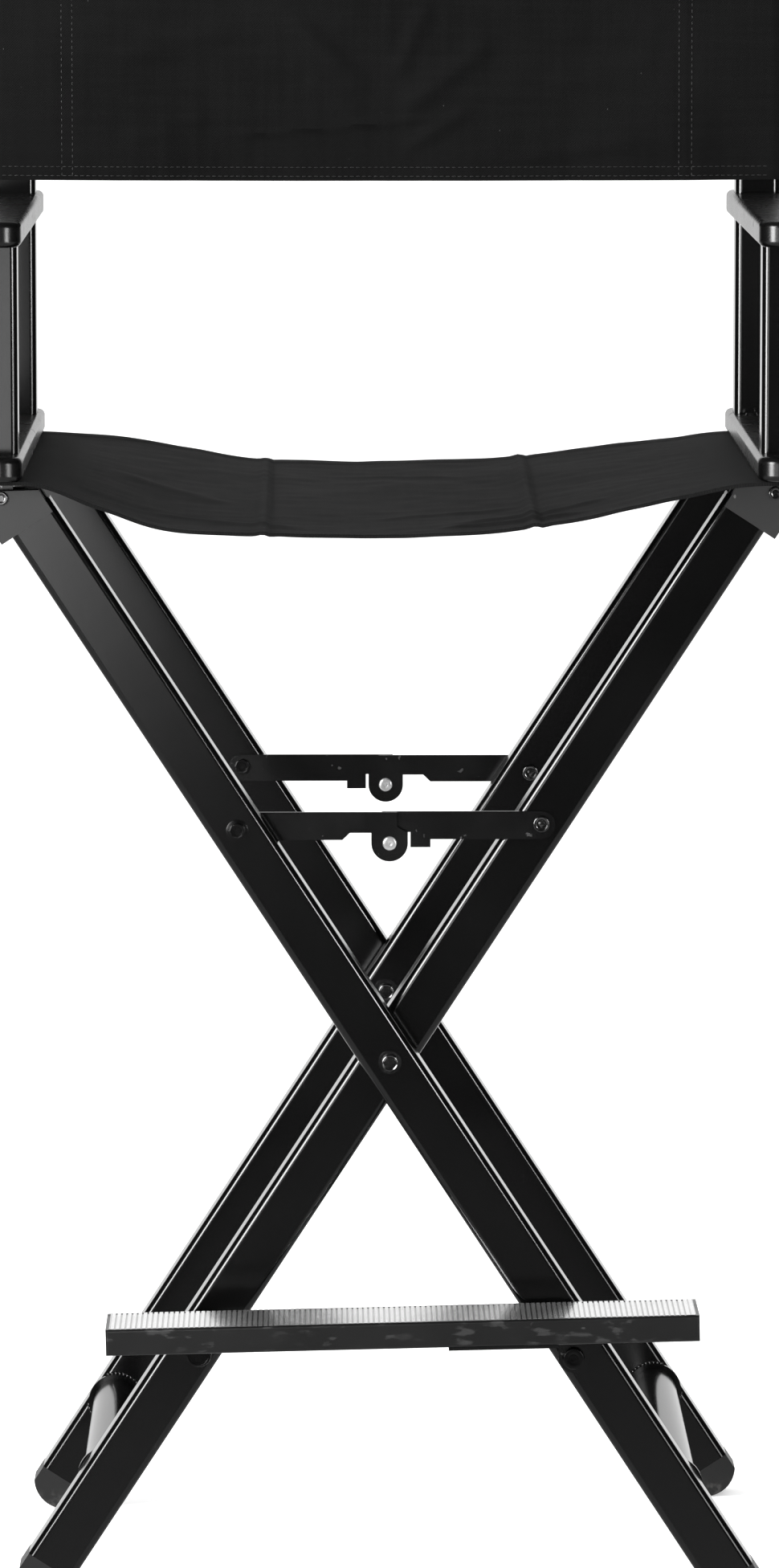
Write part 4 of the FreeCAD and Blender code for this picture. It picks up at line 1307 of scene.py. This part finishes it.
@dataclass
class BackBand:
    """The back: a canvas band with a sleeve sewn round each back post."""

    cloth: Cloth
    fold: Fold
    creases: tuple[Crease, ...] = ()
    seams: tuple[float, ...] = (-227 * MM, -219.5 * MM, 205.5 * MM, 214.5 * MM)
    hem: float = 11 * MM
    hem_stitch: float = 1.6 * MM
    edge_stitch: float = 3.2 * MM
    face: float = 0.9 * MM
    corner: float = 7 * MM
    corner_points: int = 7
    sleeve_depth: float = 32 * MM
    held: float = 42 * MM
    eases_over: float = 25 * MM

    def measure(self) -> None:
        """Reads the band's place from the plain solid that it stands for, and sets out its run."""
        low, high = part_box("back_canvas")
        self.low, self.high = low.z, high.z
        self.front = low.y + self.face
        self.rear = high.y - self.face
        self.side = high.x - self.face
        self.run = self.outline()
        self.marks = [0.0]
        for a, b in zip(self.run, self.run[1:]):
            self.marks.append(self.marks[-1] + math.dist(a, b))
        self.width = self.marks[-1]

    def outline(self) -> list[tuple[float, float]]:
        """The band seen from above: from the left seam, round both posts, to the right seam."""
        return self.sleeve(-1, self.seams[1]) + self.sleeve(1, self.seams[2])[::-1]

    def sleeve(self, side: int, seam: float) -> list[tuple[float, float]]:
        """One sleeve from its seam behind the post round to the front of the band.

        Args:
            side: -1 for the left post and 1 for the right.
            seam: Where the sleeve is sewn to the band.

        Returns:
            Points along it, in metres.
        """
        r = self.corner
        x = self.side
        behind_band = self.front + 1.9 * MM
        points = [(seam, behind_band), (seam + side * 4 * MM, behind_band + 0.5 * MM)]
        points += self.bend(side, x - self.sleeve_depth, self.rear - 3 * MM, r * 0.8, -60, 0)
        points += self.bend(side, x - r, self.rear - r, r, 0, 90)
        points += self.bend(side, x - r, self.front + r, r, 90, 180)
        return points

    def bend(self, side: int, x: float, y: float, radius: float, start: float, end: float) -> list:
        """Sets out one corner of a sleeve, turning from behind to the outside to the front.

        Args:
            side: -1 for the left post and 1 for the right.
            x: The corner's middle across, on the right side.
            y: The corner's middle in depth.
            radius: Its radius.
            start: Where it starts, in degrees from straight behind.
            end: Where it ends.

        Returns:
            Points round the corner, in metres.
        """
        points = []
        for k in range(self.corner_points):
            a = math.radians(start + (end - start) * k / (self.corner_points - 1))
            points.append((side * (x + radius * math.sin(a)), y + radius * math.cos(a)))
        return points

    def at(self, along: float) -> tuple[Vector, Vector]:
        """Place and outward direction at a distance along the run.

        Args:
            along: Distance from the left seam, in metres.

        Returns:
            The place in plan, and the direction out of the band.
        """
        along = min(max(along, 0.0), self.width)
        k = max(i for i, mark in enumerate(self.marks[:-1]) if mark <= along)
        a, b = Vector((*self.run[k], 0)), Vector((*self.run[k + 1], 0))
        t = (along - self.marks[k]) / max(self.marks[k + 1] - self.marks[k], 1e-9)
        ahead = (b - a).normalized()
        return a.lerp(b, t), Vector((ahead.y, -ahead.x, 0))

    def shape(self, u: float, v: float, lift: float = 0.0) -> Vector:
        """Lays one point of the flat cut in its place.

        Args:
            u: Its place along the band, from the middle.
            v: Its place up the band, from the middle.
            lift: How far it stands out of the cloth.

        Returns:
            Its place on the hung band.
        """
        place, out = self.at(u + self.width / 2)
        height = (self.low + self.high) / 2 + v
        forward = place.y < self.front + MM
        free = eased((self.side - self.held - abs(place.x)) / self.eases_over) if forward else 0.0
        bulge = free * sum(c.lift(place.x, height) for c in self.creases)
        bulge += free * 3.2 * MM * noise.noise(Vector((place.x * 11, height * 16, 1.3)))
        bulge += (0.25 + 0.3 * free) * MM * noise.noise(Vector((u * 60, height * 45, 5.9)))
        if forward:
            pucker = 0.35 + 0.65 * noise.noise(Vector((place.x * 90, height * 170, 2.2)))
            bulge -= 0.7 * MM * sum(ridge(place.x - s, 1.7 * MM) for s in self.seams) * (0.7 + 0.6 * pucker)
            stitch = self.hem - self.hem_stitch
            edges = (height - self.low - stitch, self.high - height - stitch)
            bulge -= 0.5 * MM * sum(ridge(edge, 1.5 * MM) for edge in edges)
        place = place + out * (bulge + lift)
        drop = -0.9 * MM * eased(1 - (height - self.low) / (60 * MM)) * (1 - (place.x / self.side) ** 2)
        return Vector((place.x, place.y, height + drop))

    def make(self) -> None:
        """Makes the band, its seams and its hems."""
        self.measure()
        length = self.high - self.low
        sheet = self.cloth.sheet(self.width, length, self.shape)
        half = length / 2
        self.cloth.thicken(sheet, lambda u, v: abs(v) > half - self.hem)
        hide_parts("back_canvas")
        lift = self.cloth.thick * 0.55
        start = -self.width / 2
        front = self.front_run()
        rows = []
        for seam in self.seams:
            u = start + self.distance_to(seam)
            rows.append((u, -half + 2 * MM, u, half - 2 * MM))
        for side in (-1, 1):
            for inset in (self.edge_stitch, self.hem - self.hem_stitch):
                rows.append((front[0], side * (half - inset), front[1], side * (half - inset)))
        thread = self.cloth.stitches(
            "back_stitches",
            rows,
            lambda u, v: self.shape(u, v, lift + (0.5 * MM if abs(v) > half - self.hem - MM else 0.0)),
        )
        for piece in (sheet, thread):
            self.fold.attach(piece)
        log.info("back band %.0f by %.0f mm", self.width / MM, length / MM)

    def distance_to(self, x: float) -> float:
        """Distance along the run to a place across the front of the band."""
        first = len(self.sleeve(-1, self.seams[1])) - 1
        return self.marks[first] + (x - self.run[first][0])

    def front_run(self) -> tuple[float, float]:
        """The stretch of the flat cut that faces forwards between the posts' corners."""
        reach = self.side - self.corner - 2 * MM
        return (self.distance_to(-reach) - self.width / 2, self.distance_to(reach) - self.width / 2)


# ---- Studio ----------------------------------------------------------------


@dataclass
class Softbox:
    """A large soft light aimed at the middle of the chair."""

    name: str
    at: tuple[float, float, float]
    size: tuple[float, float]
    radiance: float
    diffuse: bool = True
    gloss: bool = True
    aim: Vector = field(default_factory=lambda: Vector((0, 0, 0.6)))

    def make(self) -> None:
        """Hangs the light, out of the camera's sight."""
        data = bpy.data.lights.new(self.name, "AREA")
        data.shape = "RECTANGLE"
        data.size, data.size_y = self.size
        data.energy = self.radiance * math.pi * self.size[0] * self.size[1]
        light = bpy.data.objects.new(self.name, data)
        light.location = self.at
        light.rotation_euler = (self.aim - Vector(self.at)).to_track_quat("-Z", "Y").to_euler()
        light.visible_camera = False
        light.visible_diffuse = self.diffuse
        light.visible_glossy = self.gloss
        bpy.context.scene.collection.objects.link(light)
        log.info("light %s hung", self.name)


@dataclass
class Studio:
    """Pale floor, soft light and the camera."""

    eye: Vector = field(default_factory=lambda: Vector((-0.045, -5.185, 1.205)))
    yaw: float = 0.512
    pitch: float = 7.345
    lens: float = 174.3
    floor_reach: float = 120.0

    def make(self) -> None:
        """Sets the stage."""
        self.camera()
        self.floor()
        self.sky()
        for box in (
            Softbox("right_strip", (1.3, -2.2, 0.86), (0.65, 0.34), 26.0, diffuse=False),
            Softbox("right_low_strip", (1.8, -2.2, 0.4), (0.8, 0.5), 7.0, diffuse=False),
            Softbox("left_strip", (-1.55, -2.2, 1.2), (1.1, 1.6), 26.0, diffuse=False),
            Softbox("low_card", (-0.85, -4.5, 0.48), (1.0, 0.75), 4.5, diffuse=False),
            Softbox("key", (-3.4, -0.9, 2.4), (1.1, 1.1), 60.0, gloss=False),
        ):
            box.make()
        bpy.context.scene.view_settings.view_transform = "Standard"

    def camera(self) -> None:
        """Stands the camera in front of the chair, a little above its arms."""
        data = bpy.data.cameras.new("view")
        data.lens = self.lens
        data.sensor_width = 36.0
        data.clip_end = 300.0
        camera = bpy.data.objects.new("view", data)
        camera.location = self.eye
        camera.rotation_euler = (math.radians(90 - self.pitch), 0, math.radians(-self.yaw))
        bpy.context.scene.collection.objects.link(camera)
        bpy.context.scene.camera = camera

    def floor(self) -> None:
        """A wide pale floor, left out of the gloss so that the sky sets the reflections."""
        deselect()
        bpy.ops.mesh.primitive_plane_add(size=2 * self.floor_reach)
        floor = bpy.context.active_object
        floor.name = "floor"
        settle(floor)
        material = bpy.data.materials.new("floor_paint")
        g = Graph(material)
        cloud = g.noise(g.place(), 0.6, 3.0)
        colour = g.blend(cloud, grey(0.9), grey(0.94))
        g.surface(
            Base_Color=colour,
            Roughness=0.9,
            Specular_IOR_Level=0.1,
            Emission_Color=colour,
            Emission_Strength=0.35,
        )
        dress(floor, material)
        floor.visible_glossy = False

    def sky(self) -> None:
        """White for the eye and for soft light; for gloss, bright behind the chair and dim elsewhere."""
        world = bpy.data.worlds.new("studio")
        bpy.context.scene.world = world
        g = Graph(world)
        direction = g.add("ShaderNodeTexCoord").outputs["Generated"]
        _, depth, height = g.axes(direction)
        path = g.add("ShaderNodeLightPath")
        glossy = Signal(g, path.outputs["Is Glossy Ray"])
        behind = depth.ramp(0.72, 0.93)
        overhead = height.ramp(0.6, 0.95) * 0.08
        low_glow = (0 - height).ramp(0.17, 0.26) * 0.55
        gloss_level = 0.02 + behind * 1.15 + overhead + low_glow
        level = glossy * gloss_level + (1 - glossy) * 1.1
        shader = g.add("ShaderNodeBackground", None, {"Color": grey(1.0), "Strength": level})
        g.add("ShaderNodeOutputWorld", None, {0: shader.outputs[0]})


# ---- The chair -------------------------------------------------------------


def main() -> None:
    """Builds the chair and its studio."""
    logging.basicConfig(level=logging.INFO, format="%(message)s")
    dark = TurnedMetal("dark_fixing", 0.12, 0.1, 1.0).make()
    black = TurnedMetal("black_fixing", 0.012, 0.16, 0.8).make()
    bright = TurnedMetal("bright_fixing", 0.7, 0.14, 0.72).make()
    board_low, board_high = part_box("footrest_board")
    finishes = {
        "frame": GlossCoat().make(),
        **dict.fromkeys(KNUCKLES, PressedSteel("cast_paint", 0.0065, 0.42).make()),
        "moulding": MouldedGloss().make(),
        "footrest_board": MouldedGloss(
            "footrest_gloss", 0.003, 0.3, chip_line=(board_low.z + board_high.z) / 2 + 8.5 * MM
        ).make(),
        "tread": RibbedAluminium(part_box("footrest_tread")[0].x + 3.5 * MM).make(),
        "pivot_washers": dark,
        "cap_plastic": CapPlastic().make(),
        "black_steel": PressedSteel().make(),
        "dark_steel": dark,
        "bright_steel": bright,
    }
    Frame(finishes).make()
    Fixings(dark, black, bright).make()
    Welds(finishes["frame"]).make()
    rail_low, rail_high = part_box("left_seat_rail")
    post_low, post_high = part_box("left_back_post")
    thread = SewingThread().make()
    # Painted light: the seat's cloth is a lighter copy of the back's canvas, standing for the seat facing up
    # into the light.
    seat_finish = WovenCanvas("seat_canvas_lit_copy", 0.0062, highlight_fold_lines=(-84 * MM, 95 * MM)).make()
    back_finish = WovenCanvas("back_canvas_cloth", 0.0036).make()
    SeatSling(
        Cloth("seat_sling", seat_finish, thread),
        Fold((rail_low.x + rail_high.x) / 2),
        creases=SEAT_STORAGE_FOLDS + SEAT_SLACK,
    ).make()
    BackBand(
        Cloth("back_band", back_finish, thread),
        Fold((post_low.x + post_high.x) / 2),
        creases=BACK_STORAGE_FOLDS + BACK_PULLS + BACK_SLACK,
    ).make()
    Studio().make()


if __name__ == "__main__":
    main()
